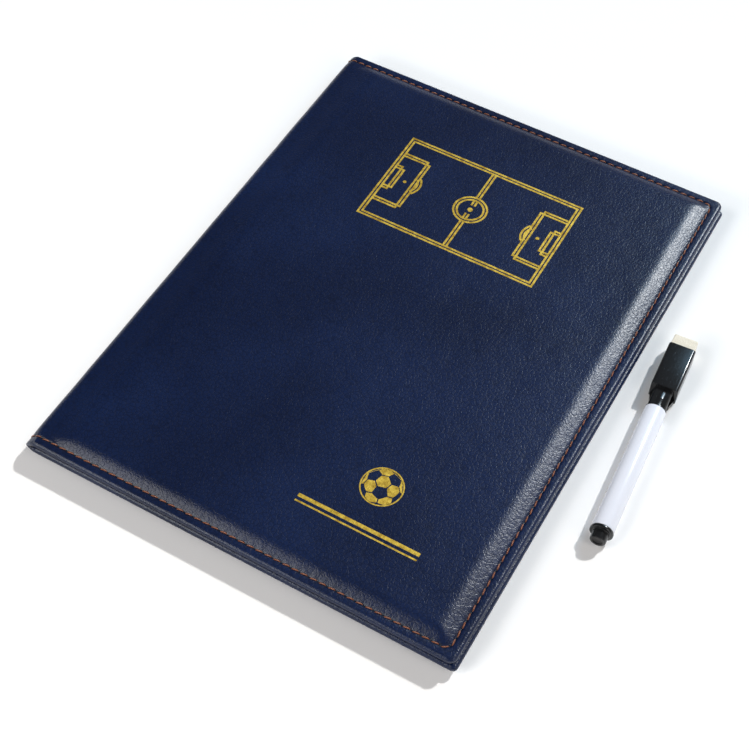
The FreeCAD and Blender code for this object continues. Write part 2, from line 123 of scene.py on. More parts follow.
class Shader:
    """The node tree of one material, or of the world."""

    def __init__(self, name: str, world: bpy.types.World | None = None) -> None:
        """Start with an empty tree."""
        self.material = world or bpy.data.materials.new(name)
        self.material.use_nodes = True
        self.tree = self.material.node_tree
        self.tree.nodes.clear()

    def feed(self, socket: bpy.types.NodeSocket, value: Any) -> None:
        """Give a socket a link or a plain value.

        Args:
            socket: an input of one of the tree's nodes.
            value: a shader value to link, or a number, vector or colour.
        """
        if isinstance(value, Sock):
            self.tree.links.new(value.socket, socket)
        elif isinstance(value, tuple) and socket.type == "RGBA":
            socket.default_value = (*value, 1.0)
        else:
            socket.default_value = value

    def node(
        self,
        kind: str,
        settings: dict[str, Any] | None = None,
        feeds: dict[Any, Any] | None = None,
        out: int | str = 0,
    ) -> Sock:
        """Add any node.

        Args:
            kind: the node's type.
            settings: properties of the node, which are set first.
            feeds: values or sockets for its inputs, by name or number.
            out: name or number of the output that is returned.

        Returns:
            The chosen output.
        """
        made = self.tree.nodes.new(kind)
        for word, choice in (settings or {}).items():
            setattr(made, word, choice)
        for word, value in (feeds or {}).items():
            self.feed(made.inputs[word], value)
        return Sock(self, made.outputs[out])

    def place(self) -> Sock:
        """Return the place on the object, in metres."""
        return self.node("ShaderNodeTexCoord", out="Object")

    def axes(self, vector: Sock) -> list[Sock]:
        """Return the three coordinates of a vector."""
        split = self.node("ShaderNodeSeparateXYZ", feeds={0: vector})
        return [Sock(self, o) for o in split.socket.node.outputs]

    def stretched(self, vector: Sock, factors: Point) -> Sock:
        """Return a vector scaled along each axis."""
        settings = {"operation": "MULTIPLY"}
        return self.node("ShaderNodeVectorMath", settings, {0: vector, 1: factors})

    def warped(self, vector: Sock, scale: float, reach: float) -> Sock:
        """Return a vector that soft noise pushes to and fro.

        Args:
            vector: the places to push.
            scale: scale of the noise.
            reach: length of the longest push.

        Returns:
            The pushed places.
        """
        feeds = {"Vector": vector, "Scale": scale}
        push = self.node("ShaderNodeTexNoise", feeds=feeds, out="Color")
        feeds = {0: push, 1: (reach, reach, reach), 2: vector}
        return self.node("ShaderNodeVectorMath", {"operation": "MULTIPLY_ADD"}, feeds)

    def noise(self, vector: Sock, scale: float, detail: float = 2.0, rough: float = 0.5) -> Sock:
        """Return soft noise from 0 to 1."""
        feeds = {"Vector": vector, "Scale": scale, "Detail": detail, "Roughness": rough}
        return self.node("ShaderNodeTexNoise", feeds=feeds)

    def cells(self, vector: Sock, scale: float, feature: str) -> Sock:
        """Return the distance inside a pattern of cells."""
        feeds = {"Vector": vector, "Scale": scale}
        return self.node("ShaderNodeTexVoronoi", {"feature": feature}, feeds, "Distance")

    def tint(self, share: Any, first: Any, second: Any) -> Sock:
        """Return a colour between two colours."""
        feeds = {0: share, 6: first, 7: second}
        return self.node("ShaderNodeMix", {"data_type": "RGBA"}, feeds, 2)

    def mark(self, name: str) -> Sock:
        """Return a number that is stored at the points of the mesh."""
        return self.node("ShaderNodeAttribute", {"attribute_name": name}, out="Fac")

    def relief(
        self, height: Sock, depth: float, strength: float = 1.0, under: Sock | None = None
    ) -> Sock:
        """Return a normal that is tilted by a height map.

        Args:
            height: the height map, from 0 to 1.
            depth: its full depth in metres.
            strength: share of the tilt that is kept.
            under: a normal that the relief lies on.

        Returns:
            The tilted normal.
        """
        feeds = {"Height": height, "Distance": depth, "Strength": strength}
        if under is not None:
            feeds["Normal"] = under
        return self.node("ShaderNodeBump", feeds=feeds)

    def surface(self, feeds: dict[str, Any]) -> None:
        """End the tree with one surface shader."""
        self.close(self.node("ShaderNodeBsdfPrincipled", feeds=feeds), "ShaderNodeOutputMaterial")

    def close(self, shade: Sock, kind: str) -> None:
        """Link a shader to an output node."""
        self.tree.links.new(shade.socket, self.tree.nodes.new(kind).inputs["Surface"])


@dataclass(frozen=True)
class Finish:
    """A named finish that makes its material once."""

    name: str

    def shade(self, shader: Shader) -> None:
        """Fill the shader's tree, which each kind of finish does in its own way."""
        raise NotImplementedError

    def material(self) -> bpy.types.Material:
        """Make the finish's material, or find it where it is made already.

        Returns:
            The material.
        """
        found = bpy.data.materials.get(self.name)
        if found is None:
            shader = Shader(self.name)
            self.shade(shader)
            found = shader.material
        return found


@dataclass(frozen=True)
class GrainedLeather(Finish):
    """Semi-gloss imitation leather with a pebble grain and soft wrinkles."""

    deep: Colour = (0.0022, 0.0076, 0.034)
    light: Colour = (0.0038, 0.0124, 0.052)
    worn: Colour = (0.010, 0.020, 0.065)
    # tone of the painted shade in the grain's creases, the needle holes and the gap under the upper
    # cover
    painted_shade: Colour = (0.0006, 0.0012, 0.004)
    pebble_scale: float = 1000.0
    crease_scale: float = 460.0
    pore_scale: float = 4200.0
    wrinkle_scale: float = 75.0
    cloud_scale: float = 14.0
    grain_depth: float = 0.115 * MM
    wrinkle_depth: float = 0.5 * MM
    gloss: float = 0.27
    dulling: float = 0.5
    specular: float = 0.38

    def shade(self, shader: Shader) -> None:
        """Mix grain, wrinkles, worn edges and painted shade in creases, needle holes and gap.

        Args:
            shader: tree that receives the nodes.
        """
        place = shader.place()
        warped = shader.warped(place, 420.0, 0.9 * MM)
        pebbles = shader.cells(warped, self.pebble_scale, "SMOOTH_F1")
        creases = shader.cells(warped, self.crease_scale, "DISTANCE_TO_EDGE").step(0.0, 0.16)
        pores = shader.noise(place, self.pore_scale, 1.0)
        along = shader.stretched(place, (1.0, 0.6, 1.0))
        wrinkles = shader.noise(along, self.wrinkle_scale, 3.0, 0.55)
        cloud = shader.noise(place, self.cloud_scale, 3.0)
        height = (1 - pebbles) * 0.55 + creases * 0.28 + pores * 0.12
        grain = shader.relief(height, self.grain_depth)
        wear = shader.mark("edge") * cloud.step(0.25, 0.75) * 0.5
        # painted shade, with duller gloss, on the upper cover's rolled edge where it faces the gap
        # between the covers
        gap = shader.mark("gap")
        colour = shader.tint(cloud.step(0.3, 0.7), self.deep, self.light)
        # painted shade darkens the grain's creases
        colour = shader.tint((1 - creases) * 0.35, colour, self.painted_shade)
        colour = shader.tint(wear, colour, self.worn)
        # painted shade in the needle holes and in the gap between the covers
        for dark in (shader.mark("painted_shade"), gap):
            colour = shader.tint(dark, colour, self.painted_shade)
        shader.surface(
            {
                "Base Color": colour,
                "Roughness": self.gloss + pebbles * 0.11 + cloud * 0.05 + self.dulling * gap,
                "Specular IOR Level": self.specular,
                "Normal": shader.relief(wrinkles, self.wrinkle_depth, 0.5, grain),
            }
        )


@dataclass(frozen=True)
class WovenLining(Finish):
    """Thin matt lining with a fine plain weave."""

    base: Colour = (0.010, 0.014, 0.034)
    high: Colour = (0.030, 0.038, 0.070)
    pitch: float = 0.5 * MM
    fuzz_scale: float = 900.0
    depth: float = 0.06 * MM

    def shade(self, shader: Shader) -> None:
        """Mix the weave and its fuzz.

        Args:
            shader: tree that receives the nodes.
        """
        place = shader.place()
        x, y, z = shader.axes(place)
        weave = (x + z).wave(self.pitch) * y.wave(self.pitch)
        fuzz = shader.noise(place, self.fuzz_scale, 3.0)
        shader.surface(
            {
                "Base Color": shader.tint(weave * 0.6 + fuzz * 0.3, self.base, self.high),
                "Roughness": 0.72 + fuzz * 0.15,
                "Normal": shader.relief(weave + fuzz * 0.4, self.depth),
            }
        )


@dataclass(frozen=True)
class TwistedThread(Finish):
    """Waxed sewing thread of three twisted strands."""

    dark: Colour = (0.075, 0.020, 0.010)
    bright: Colour = (0.34, 0.112, 0.044)
    twist: float = 0.8 * MM
    fuzz_scale: float = 2600.0
    age_scale: float = 160.0
    depth: float = 0.1 * MM

    def shade(self, shader: Shader) -> None:
        """Mix the twisted strands, fuzz and age.

        Args:
            shader: tree that receives the nodes.
        """
        place = shader.place()
        x, y, z = shader.axes(place)
        strands = (x * 0.9 + y * 1.1 + z * 0.7).wave(self.twist)
        fuzz = shader.noise(place, self.fuzz_scale)
        aged = shader.noise(place, self.age_scale, 1.0)
        share = strands * 0.55 + fuzz * 0.3 + aged * 0.25
        shader.surface(
            {
                "Base Color": shader.tint(share, self.dark, self.bright),
                "Roughness": 0.3 + fuzz * 0.25,
                "Normal": shader.relief(strands + fuzz * 0.3, self.depth),
            }
        )


@dataclass(frozen=True)
class GoldFoil(Finish):
    """Hot-stamped gold foil that shows the grain under it."""

    pale: Colour = (0.86, 0.60, 0.085)
    deep: Colour = (0.42, 0.25, 0.022)
    pebble_scale: float = 1150.0
    blotch_scale: float = 330.0
    wear_scale: float = 1500.0
    depth: float = 0.07 * MM

    def shade(self, shader: Shader) -> None:
        """Mix blotches, worn spots and the grain that shows through.

        Args:
            shader: tree that receives the nodes.
        """
        place = shader.place()
        pebbles = shader.cells(place, self.pebble_scale, "SMOOTH_F1")
        blotch = shader.noise(place, self.blotch_scale, 3.0, 0.6)
        worn = shader.noise(place, self.wear_scale).step(0.62, 0.78)
        colour = shader.tint(blotch.step(0.25, 0.7), self.deep, self.pale)
        colour = shader.tint(worn * 0.55, colour, self.deep)
        shader.surface(
            {
                "Base Color": colour,
                "Metallic": 0.55 - worn * 0.3,
                "Roughness": 0.34 + pebbles * 0.2,
                "Normal": shader.relief(1 - pebbles, self.depth),
            }
        )


@dataclass(frozen=True)
class PrintedPitch(Finish):
    """Glossy dry-erase film with a green printed ground in mown bands."""

    dark: Colour = (0.016, 0.135, 0.036)
    light: Colour = (0.028, 0.200, 0.052)
    band: float = 42.5 * MM
    turf_scale: float = 520.0
    rub_scale: float = 26.0
    depth: float = 0.02 * MM

    def shade(self, shader: Shader) -> None:
        """Mix mown bands, turf and rubbed gloss.

        Args:
            shader: tree that receives the nodes.
        """
        place = shader.place()
        bands = shader.axes(place)[0].wave(self.band).step(0.44, 0.56)
        mown = shader.stretched(place, (1.0, 3.0, 1.0))
        wiped = shader.stretched(place, (9.0, 1.0, 1.0))
        turf = shader.noise(mown, self.turf_scale, 3.0, 0.65)
        rub = shader.noise(wiped, self.rub_scale, 4.0, 0.7)
        colour = shader.tint(bands * 0.8 + turf * 0.35, self.dark, self.light)
        shader.surface(
            {
                "Base Color": colour,
                "Roughness": 0.13 + rub.step(0.45, 0.8) * 0.14,
                "Normal": shader.relief(rub, self.depth),
            }
        )


@dataclass(frozen=True)
class FlatPrint(Finish):
    """Printed ink or bare sheet stock with slight mottling."""

    first: Colour
    second: Colour
    rough: float = 0.3
    metal: float = 0.0
    scale: float = 700.0
    stretch: Point = (1.0, 1.0, 1.0)
    depth: float = 0.02 * MM

    def shade(self, shader: Shader) -> None:
        """Mix two tones by mottling.

        Args:
            shader: tree that receives the nodes.
        """
        place = shader.stretched(shader.place(), self.stretch)
        mottle = shader.noise(place, self.scale, 4.0, 0.6)
        shader.surface(
            {
                "Base Color": shader.tint(mottle.step(0.3, 0.7), self.first, self.second),
                "Roughness": self.rough + mottle * 0.12,
                "Metallic": self.metal,
                "Normal": shader.relief(mottle, self.depth),
            }
        )


@dataclass(frozen=True)
class GlossyPlastic(Finish):
    """Moulded glossy plastic with faint flow marks and handling scratches."""

    body: Colour
    shade_tone: Colour
    rough: float = 0.16
    flow_scale: float = 130.0
    scratch_scale: float = 300.0
    depth: float = 0.03 * MM

    def shade(self, shader: Shader) -> None:
        """Mix flow marks and scratches.

        Args:
            shader: tree that receives the nodes.
        """
        place = shader.place()
        flow = shader.noise(shader.stretched(place, (1.0, 0.25, 1.0)), self.flow_scale)
        handled = shader.stretched(place, (6.0, 1.0, 6.0))
        scratch = shader.noise(handled, self.scratch_scale, 4.0, 0.7).step(0.56, 0.74)
        shader.surface(
            {
                "Base Color": shader.tint(flow * 0.6 + scratch * 0.25, self.body, self.shade_tone),
                "Roughness": self.rough + scratch * 0.16 + flow * 0.06,
                "Normal": shader.relief(flow + scratch * 0.1, self.depth),
            }
        )


@dataclass(frozen=True)
class PressedFelt(Finish):
    """Pressed wool felt with loose fibres and a little ink dust."""

    wool: Colour = (0.92, 0.84, 0.70)
    shadow: Colour = (0.72, 0.64, 0.50)
    fibre_scale: float = 1300.0
    tuft_scale: float = 380.0
    depth: float = 0.3 * MM

    def shade(self, shader: Shader) -> None:
        """Mix fibres and tufts.

        Args:
            shader: tree that receives the nodes.
        """
        place = shader.place()
        laid = shader.stretched(place, (1.0, 2.6, 1.8))
        fibre = shader.noise(laid, self.fibre_scale, 5.0, 0.75)
        tuft = shader.noise(place, self.tuft_scale, 3.0)
        share = fibre.step(0.3, 0.62) * 0.7 + tuft * 0.4
        shader.surface(
            {
                "Base Color": shader.tint(share, self.shadow, self.wool),
                "Roughness": 0.9,
                "Sheen Weight": 0.3,
                "Normal": shader.relief(fibre + tuft * 0.6, self.depth),
            }
        )


LEATHER = GrainedLeather("navy_grained_leather")
LINING = WovenLining("woven_lining")
THREAD = TwistedThread("brown_thread")
FOIL = GoldFoil("gold_foil")
PITCH = PrintedPitch("printed_pitch")
LINES = FlatPrint("white_line_print", (0.74, 0.78, 0.74), (0.86, 0.88, 0.86), 0.2)
GREYBOARD = FlatPrint("greyboard", (0.30, 0.28, 0.25), (0.46, 0.43, 0.38), 0.8, 0.0, 900.0)
FILM = FlatPrint("adhesive_film", (0.66, 0.63, 0.55), (0.78, 0.75, 0.68), 0.5)
STEEL = FlatPrint(
    "sheet_steel", (0.50, 0.51, 0.52), (0.64, 0.65, 0.66), 0.3, 1.0, 300.0, (1, 12, 1)
)
WHITE_PLASTIC = GlossyPlastic("white_barrel_plastic", (0.80, 0.80, 0.85), (0.72, 0.72, 0.79))
BLACK_PLASTIC = GlossyPlastic("black_cap_plastic", (0.0075, 0.0075, 0.008), (0.016, 0.016, 0.017))
FELT = PressedFelt("cream_felt")
FIBRE = FlatPrint(
    "inked_fibre", (0.010, 0.010, 0.013), (0.04, 0.04, 0.05), 0.7, 0.0, 2600.0, (4, 1, 4)
)


def mesh_piece(
    name: str,
    points: Sequence[Sequence[float]] | np.ndarray,
    faces: Sequence[Sequence[int]],
    finish: Finish,
    marks: dict[str, np.ndarray] | None = None,
) -> bpy.types.Object:
    """Make a smooth mesh object.

    Args:
        name: name of the piece.
        points: its points in metres.
        faces: point numbers of each face.
        finish: finish of the whole piece.
        marks: numbers stored at the points, by name.

    Returns:
        The new object, linked to the scene.
    """
    mesh = bpy.data.meshes.new(name)
    mesh.from_pydata([tuple(map(float, p)) for p in points], [], [tuple(f) for f in faces])
    shape = bmesh.new()
    shape.from_mesh(mesh)
    bmesh.ops.recalc_face_normals(shape, faces=shape.faces)
    shape.to_mesh(mesh)
    shape.free()
    mesh.polygons.foreach_set("use_smooth", [True] * len(mesh.polygons))
    for word, values in (marks or {}).items():
        store = mesh.attributes.new(word, "FLOAT", "POINT")
        store.data.foreach_set("value", np.asarray(values, np.float32))
    mesh.materials.append(finish.material())
    mesh.update()
    made = bpy.data.objects.new(name, mesh)
    bpy.context.scene.collection.objects.link(made)
    return made


def crisp(piece: bpy.types.Object, degrees: float = 35.0) -> None:
    """Keep edges sharper than an angle crisp."""
    piece.data.set_sharp_from_angle(angle=math.radians(degrees))


@dataclass
class MeshBuilder:
    """Collects points and faces of one piece."""

    points: list[Point] = field(default_factory=list)
    faces: list[list[int]] = field(default_factory=list)

    def add(self, rows: Sequence[Sequence[float]]) -> list[int]:
        """Add points.

        Args:
            rows: the points in metres.

        Returns:
            The numbers of the new points.
        """
        start = len(self.points)
        self.points.extend(tuple(map(float, r)) for r in rows)
        return list(range(start, len(self.points)))

    def grid(self, spots: np.ndarray) -> np.ndarray:
        """Add a grid of points and return their numbers in the same layout."""
        return np.array(self.add(spots.reshape(-1, 3))).reshape(spots.shape[:-1])

    def bridge(self, first: Sequence[int], second: Sequence[int], closed: bool = False) -> None:
        """Join two equal rows of points with quads.

        Args:
            first: point numbers of one row.
            second: point numbers of the other row.
            closed: whether the rows are rings.
        """
        count = len(first)
        for i in range(count if closed else count - 1):
            j = (i + 1) % count
            self.faces.append([first[i], first[j], second[j], second[i]])

    def sheet(self, top: np.ndarray, low: np.ndarray) -> None:
        """Skin both sides of a sheet and close its first and last rows.

        Args:
            top: point numbers of one side, row by row.
            low: point numbers of the other side.
        """
        for i in range(len(top) - 1):
            self.bridge(top[i], top[i + 1])
            self.bridge(low[i + 1], low[i])
        for i in (0, -1):
            self.bridge(top[i], low[i])

    def loft(self, sections: Sequence[Sequence[Sequence[float]]]) -> None:
        """Skin closed sections and cap the first and the last one.

        Args:
            sections: the points of each section, in order.
        """
        rings = [self.add(s) for s in sections]
        for before, after in zip(rings, rings[1:]):
            self.bridge(before, after, closed=True)
        self.faces.append(list(reversed(rings[0])))
        self.faces.append(rings[-1])

    def piece(
        self, name: str, finish: Finish, marks: dict[str, np.ndarray] | None = None
    ) -> bpy.types.Object:
        """Turn the collected faces into an object."""
        return mesh_piece(name, self.points, self.faces, finish, marks)


class Face(Enum):
    """The way a cover's outer face looks."""

    UP = 1.0
    DOWN = -1.0

    @property
    def half(self) -> str:
        """Name of the half of the spine on this side."""
        return "upper" if self is Face.UP else "lower"


@dataclass(frozen=True)
class FolderSizes:
    """Sizes that the covers and the spine share, in metres."""

    half_height: float = 160.0 * MM
    fold_x: float = -117.6 * MM
    middle_z: float = 7.8 * MM
    fold_radius: float = 5.0 * MM
    stack: float = 4.0 * MM
    skin: float = 0.9 * MM
    sheet: float = 0.5 * MM
    edge_radius: float = 1.9 * MM
    crown_rise: float = 2.8 * MM
    crown_spine_run: float = 20.0 * MM
    fore_crown: Pair = (7.7 * MM, 0.36)
    end_crown: Pair = (5.2 * MM, 0.6)
    crown_blend: float = 2.0
    waves: Pairs = ((0.16 * MM, 75.0 * MM), (0.10 * MM, 22.0 * MM))
    seam_inset: float = 5.1 * MM
    seam_width: float = 1.0 * MM
    seam_depth: float = 0.35 * MM
    seam_valley: float = 0.62 * MM
    seam_corner: float = 4.0 * MM
    stitch_pitch: float = 4.93 * MM
    hole_reach: float = 0.75 * MM
    hole_depth: float = 0.22 * MM
    pull_reach: float = 3.2 * MM
    pull_depth: float = 0.09 * MM
    thread: float = 0.8 * MM
    board_setback: float = 2.1 * MM
    turn_in: float = 14.0 * MM
    tuck: float = 0.25 * MM
    pinch_run: float = 11.0 * MM
    spine_tips: Pairs = ((1.3 * MM, -1.6 * MM), (-0.2 * MM, 1.2 * MM))

    @property
    def thread_level(self) -> float:
        """Depth at which the thread lies in the seam groove."""
        return self.seam_depth * 0.55

    @property
    def seam_y(self) -> float:
        """Height of the top seam above the middle."""
        return self.half_height - self.seam_inset

    @property
    def corner_arc(self) -> float:
        """Length of seam round one corner."""
        return self.seam_corner * math.pi / 2

    @property
    def quarter_fold(self) -> float:
        """Length of leather from the fold line to the middle of the spine."""
        return self.fold_radius * math.pi / 2

    def hole_shade(self, across: np.ndarray, phase: np.ndarray) -> np.ndarray:
        """Return painted shade at the needle holes, from 0 to 1, at a distance from the seam."""
        return np.exp(-((across / self.hole_reach) ** 2)) * (0.3 + 0.7 * phase**3)


FOLDER = FolderSizes()


def stitch_phase(along: np.ndarray, pitch: float) -> np.ndarray:
    """Return 1 at the needle holes of a seam and 0 halfway between them."""
    return np.cos(2 * math.pi * along / pitch) * 0.5 + 0.5


def ripple(x: np.ndarray, y: np.ndarray, seed: int, longest: float) -> np.ndarray:
    """Return a soft uneven surface between -1 and 0.

    Args:
        x: first coordinate of the points.
        y: second coordinate of the points.
        seed: number that fixes the pattern.
        longest: longest wave length in metres.

    Returns:
        One value for each point.
    """
    rng = np.random.default_rng(seed)
    total = np.zeros_like(x)
    for _ in range(RIPPLE_WAVES):
        turn = rng.uniform(0, 2 * math.pi)
        pace = 2 * math.pi / (longest * rng.uniform(0.4, 1.0))
        along = x * math.cos(turn) + y * math.sin(turn)
        total += np.sin(pace * along + rng.uniform(0, 6.28))
    return np.clip(total / RIPPLE_WAVES, -1, 1) * 0.5 - 0.5


def smooth(share: Any) -> np.ndarray:
    """Return a smooth step from 0 at 0 to 1 at 1."""
    held = np.clip(share, 0, 1)
    return held * held * (3 - 2 * held)


def shoulder(climb: np.ndarray, soft: float) -> np.ndarray:
    """Return a straight rise that levels off at 1.

    Args:
        climb: share of the run, 1 where a straight rise would reach the top.
        soft: share of the run over which the rise levels off, on each side of 1.

    Returns:
        Height of each point as a share of the full rise.
    """
    bent = np.clip((climb - 1 + soft) / (2 * soft), 0, 1)
    return np.minimum(climb - soft * bent**2, 1)


def spread(*groups: Sequence[float], least: float = 0.22 * MM) -> np.ndarray:
    """Return sorted grid lines from several groups.

    Args:
        groups: places of the lines; those of earlier groups win over close ones.
        least: least distance between two lines.

    Returns:
        The places of the lines that are kept.
    """
    kept: list[float] = []
    for group in groups:
        for value in group:
            if all(abs(value - k) > least for k in kept):
                kept.append(float(value))
    return np.array(sorted(kept))


Track = Callable[[float], tuple[Vector, Vector]]


@dataclass
class Stitches:
    """A row of lockstitches collected into one mesh."""

    builder: MeshBuilder = field(default_factory=MeshBuilder)
    radius: float = FOLDER.thread / 2
    slant: float = 0.26 * MM
    hidden: float = 0.13
    near: float = 0.2 * MM
    rings: int = 7
    sides: int = 8

    def add(self, start: float, end: float, track: Track) -> None:
        """Add one stitch.

        Args:
            start: place of its first needle hole along the seam.
            end: place of its second needle hole.
            track: gives the surface point and the outward normal at a place along the seam.
        """
        turns = [2 * math.pi * k / self.sides for k in range(self.sides)]
        sections = []
        for ring in range(self.rings):
            share = ring / (self.rings - 1)
            along = start + (end - start) * (self.hidden + (1 - 2 * self.hidden) * share)
            centre, normal = track(along)
            ahead = track(along + self.near)[0] - track(along - self.near)[0]
            side = normal.cross(ahead.normalized()).normalized()
            bow = 1 - abs(2 * share - 1) ** 3
            width = self.radius * (0.62 + 0.38 * bow)
            lift = self.radius * (-0.95 + 1.45 * bow)
            middle = centre + normal * lift + side * self.slant * (2 * share - 1)
            flat, tall = side * width, normal * width * 0.85
            sections.append([middle + flat * math.cos(t) + tall * math.sin(t) for t in turns])
        self.builder.loft(sections)


def dress_node(node: str, finish: Finish) -> None:
    """Give a carried-over solid a finish of its own.

    Args:
        node: name of the solid.
        finish: its finish.
    """
    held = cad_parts[node]
    held.data.materials.clear()
    held.data.materials.append(finish.material())
    held.data.polygons.foreach_set("material_index", [0] * len(held.data.polygons))


@dataclass
class Ribbons:
    """Thin printed or stamped strokes that lie on a surface."""

    surface: Callable[[np.ndarray, np.ndarray], np.ndarray]
    thick: float
    step: float = 2.5 * MM
    hair: float = 0.004 * MM
    sharpest: float = 0.35
    builder: MeshBuilder = field(default_factory=MeshBuilder)

    def rail(self, line: np.ndarray) -> tuple[list[int], list[int]]:
        """Add a line on the surface, and the same line at the top of the stroke."""
        low = self.surface(line[:, 0], line[:, 1])
        return self.builder.add(low), self.builder.add(low + np.array([0, 0, self.thick]))

    def slab(self, outline: np.ndarray) -> None:
        """Add a thin plate.

        Args:
            outline: points of its closed outline.
        """
        bottom, top = self.rail(outline)
        self.builder.bridge(bottom, top, closed=True)
        self.builder.faces += [list(reversed(bottom)), top]
        self.rise()

    def rise(self) -> None:
        """Let the next stroke lie a hair higher, so that crossing strokes do not share a face."""
        self.thick += math.copysign(self.hair, self.thick)

    def divided(self, line: np.ndarray, closed: bool) -> np.ndarray:
        """Divide a line into steps short enough to follow the surface.

        Args:
            line: points of the line.
            closed: whether the line ends where it starts.

        Returns:
            The old points with new ones between them.
        """
        ends = np.roll(line, -1, axis=0) if closed else np.vstack([line[1:], line[-1:]])
        parts = []
        for start, end in zip(line, ends):
            count = max(1, math.ceil(np.linalg.norm(end - start) / self.step))
            parts.append(start + (end - start) * np.arange(count)[:, None] / count)
        return np.concatenate(parts)

    def stroke(self, line: Sequence[Sequence[float]], width: float, closed: bool = False) -> None:
        """Add a stroke of constant width along a line.

        Args:
            line: points of the stroke's middle.
            width: width of the stroke.
            closed: whether the line ends where it starts.
        """
        spots = self.divided(np.asarray(line, float), closed)
        ahead = np.roll(spots, -1, axis=0) - spots
        back = spots - np.roll(spots, 1, axis=0)
        if not closed:
            ahead[-1], back[0] = back[-1], ahead[0]
        ahead /= np.linalg.norm(ahead, axis=1)[:, None]
        back /= np.linalg.norm(back, axis=1)[:, None]
        normals = np.stack([-(ahead + back)[:, 1], (ahead + back)[:, 0]], axis=1)
        normals /= np.linalg.norm(normals, axis=1)[:, None]
        sharp = np.stack([-ahead[:, 1], ahead[:, 0]], axis=1)
        normals /= np.maximum((normals * sharp).sum(axis=1), self.sharpest)[:, None]
        left_low, left_high = self.rail(spots + normals * width / 2)
        right_low, right_high = self.rail(spots - normals * width / 2)
        for first, second in (
            (left_high, right_high),
            (right_low, left_low),
            (left_low, left_high),
            (right_high, right_low),
        ):
            self.builder.bridge(first, second, closed)
        if not closed:
            for i in (0, -1):
                self.builder.faces.append([left_low[i], left_high[i], right_high[i], right_low[i]])
        self.rise()


def arc(
    centre: Sequence[float], radius: float, start: float, end: float, count: int = 48
) -> np.ndarray:
    """Return points on an arc.

    Args:
        centre: middle of the arc.
        radius: its radius.
        start: first angle in degrees.
        end: last angle in degrees.
        count: number of points.

    Returns:
        The points, from the first angle to the last.
    """
    turn = np.radians(np.linspace(start, end, count))
    return np.stack([centre[0] + radius * np.cos(turn), centre[1] + radius * np.sin(turn)], axis=1)


@dataclass(frozen=True)
class FieldPlan:
    """Sizes of a full playing field, in metres on the ground."""

    long: float = 105.0
    wide: float = 68.0
    ring: float = 9.15
    spot: float = 11.0
    boxes: Pairs = ((16.5, 40.32), (5.5, 18.32))
    goal: float = 7.32
    net: float = 1.6
    corner: float = 1.6


FIELD = FieldPlan()


@dataclass(frozen=True)
class HalfPitch:
    """Half of a playing field, drawn to scale from the halfway line to the goal line."""

    per_metre: float = 4.1 * MM
    start: float = 5.0 * MM
    line: float = 1.5 * MM
    middle_dot: float = 0.55
    spot_dot: float = 0.45

    def draw(self, ink: Ribbons) -> None:
        """Draw every line of the half.

        Args:
            ink: strokes that receive the lines.
        """
        k, x0, line = self.per_metre, self.start, self.line
        goal, side, ring = x0 + FIELD.long / 2 * k, FIELD.wide / 2 * k, FIELD.ring * k
        ink.stroke([(x0, -side), (goal, -side), (goal, side), (x0, side)], line, closed=True)
        frames = [(*box, line) for box in FIELD.boxes]
        frames.append((-FIELD.net, FIELD.goal, line * 0.8))
        for deep, wide, width in frames:
            near, half = goal - deep * k, wide / 2 * k
            ink.stroke([(goal, -half), (near, -half), (near, half), (goal, half)], width)
        ink.stroke(arc((x0, 0), ring, -90, 90), line)
        ink.slab(arc((x0, 0), self.middle_dot * k, -90, 90, 12))
        spot = (goal - FIELD.spot * k, 0)
        ink.slab(arc(spot, self.spot_dot * k, 0, 345, 24))
        reach = math.degrees(math.acos((FIELD.boxes[0][0] - FIELD.spot) / FIELD.ring))
        ink.stroke(arc(spot, ring, 180 - reach, 180 + reach, 24), line)
        for sign in (-1, 1):
            bow = arc((goal, sign * side), FIELD.corner * k, 180, 180 + 90 * sign, 10)
            ink.stroke(bow, line)


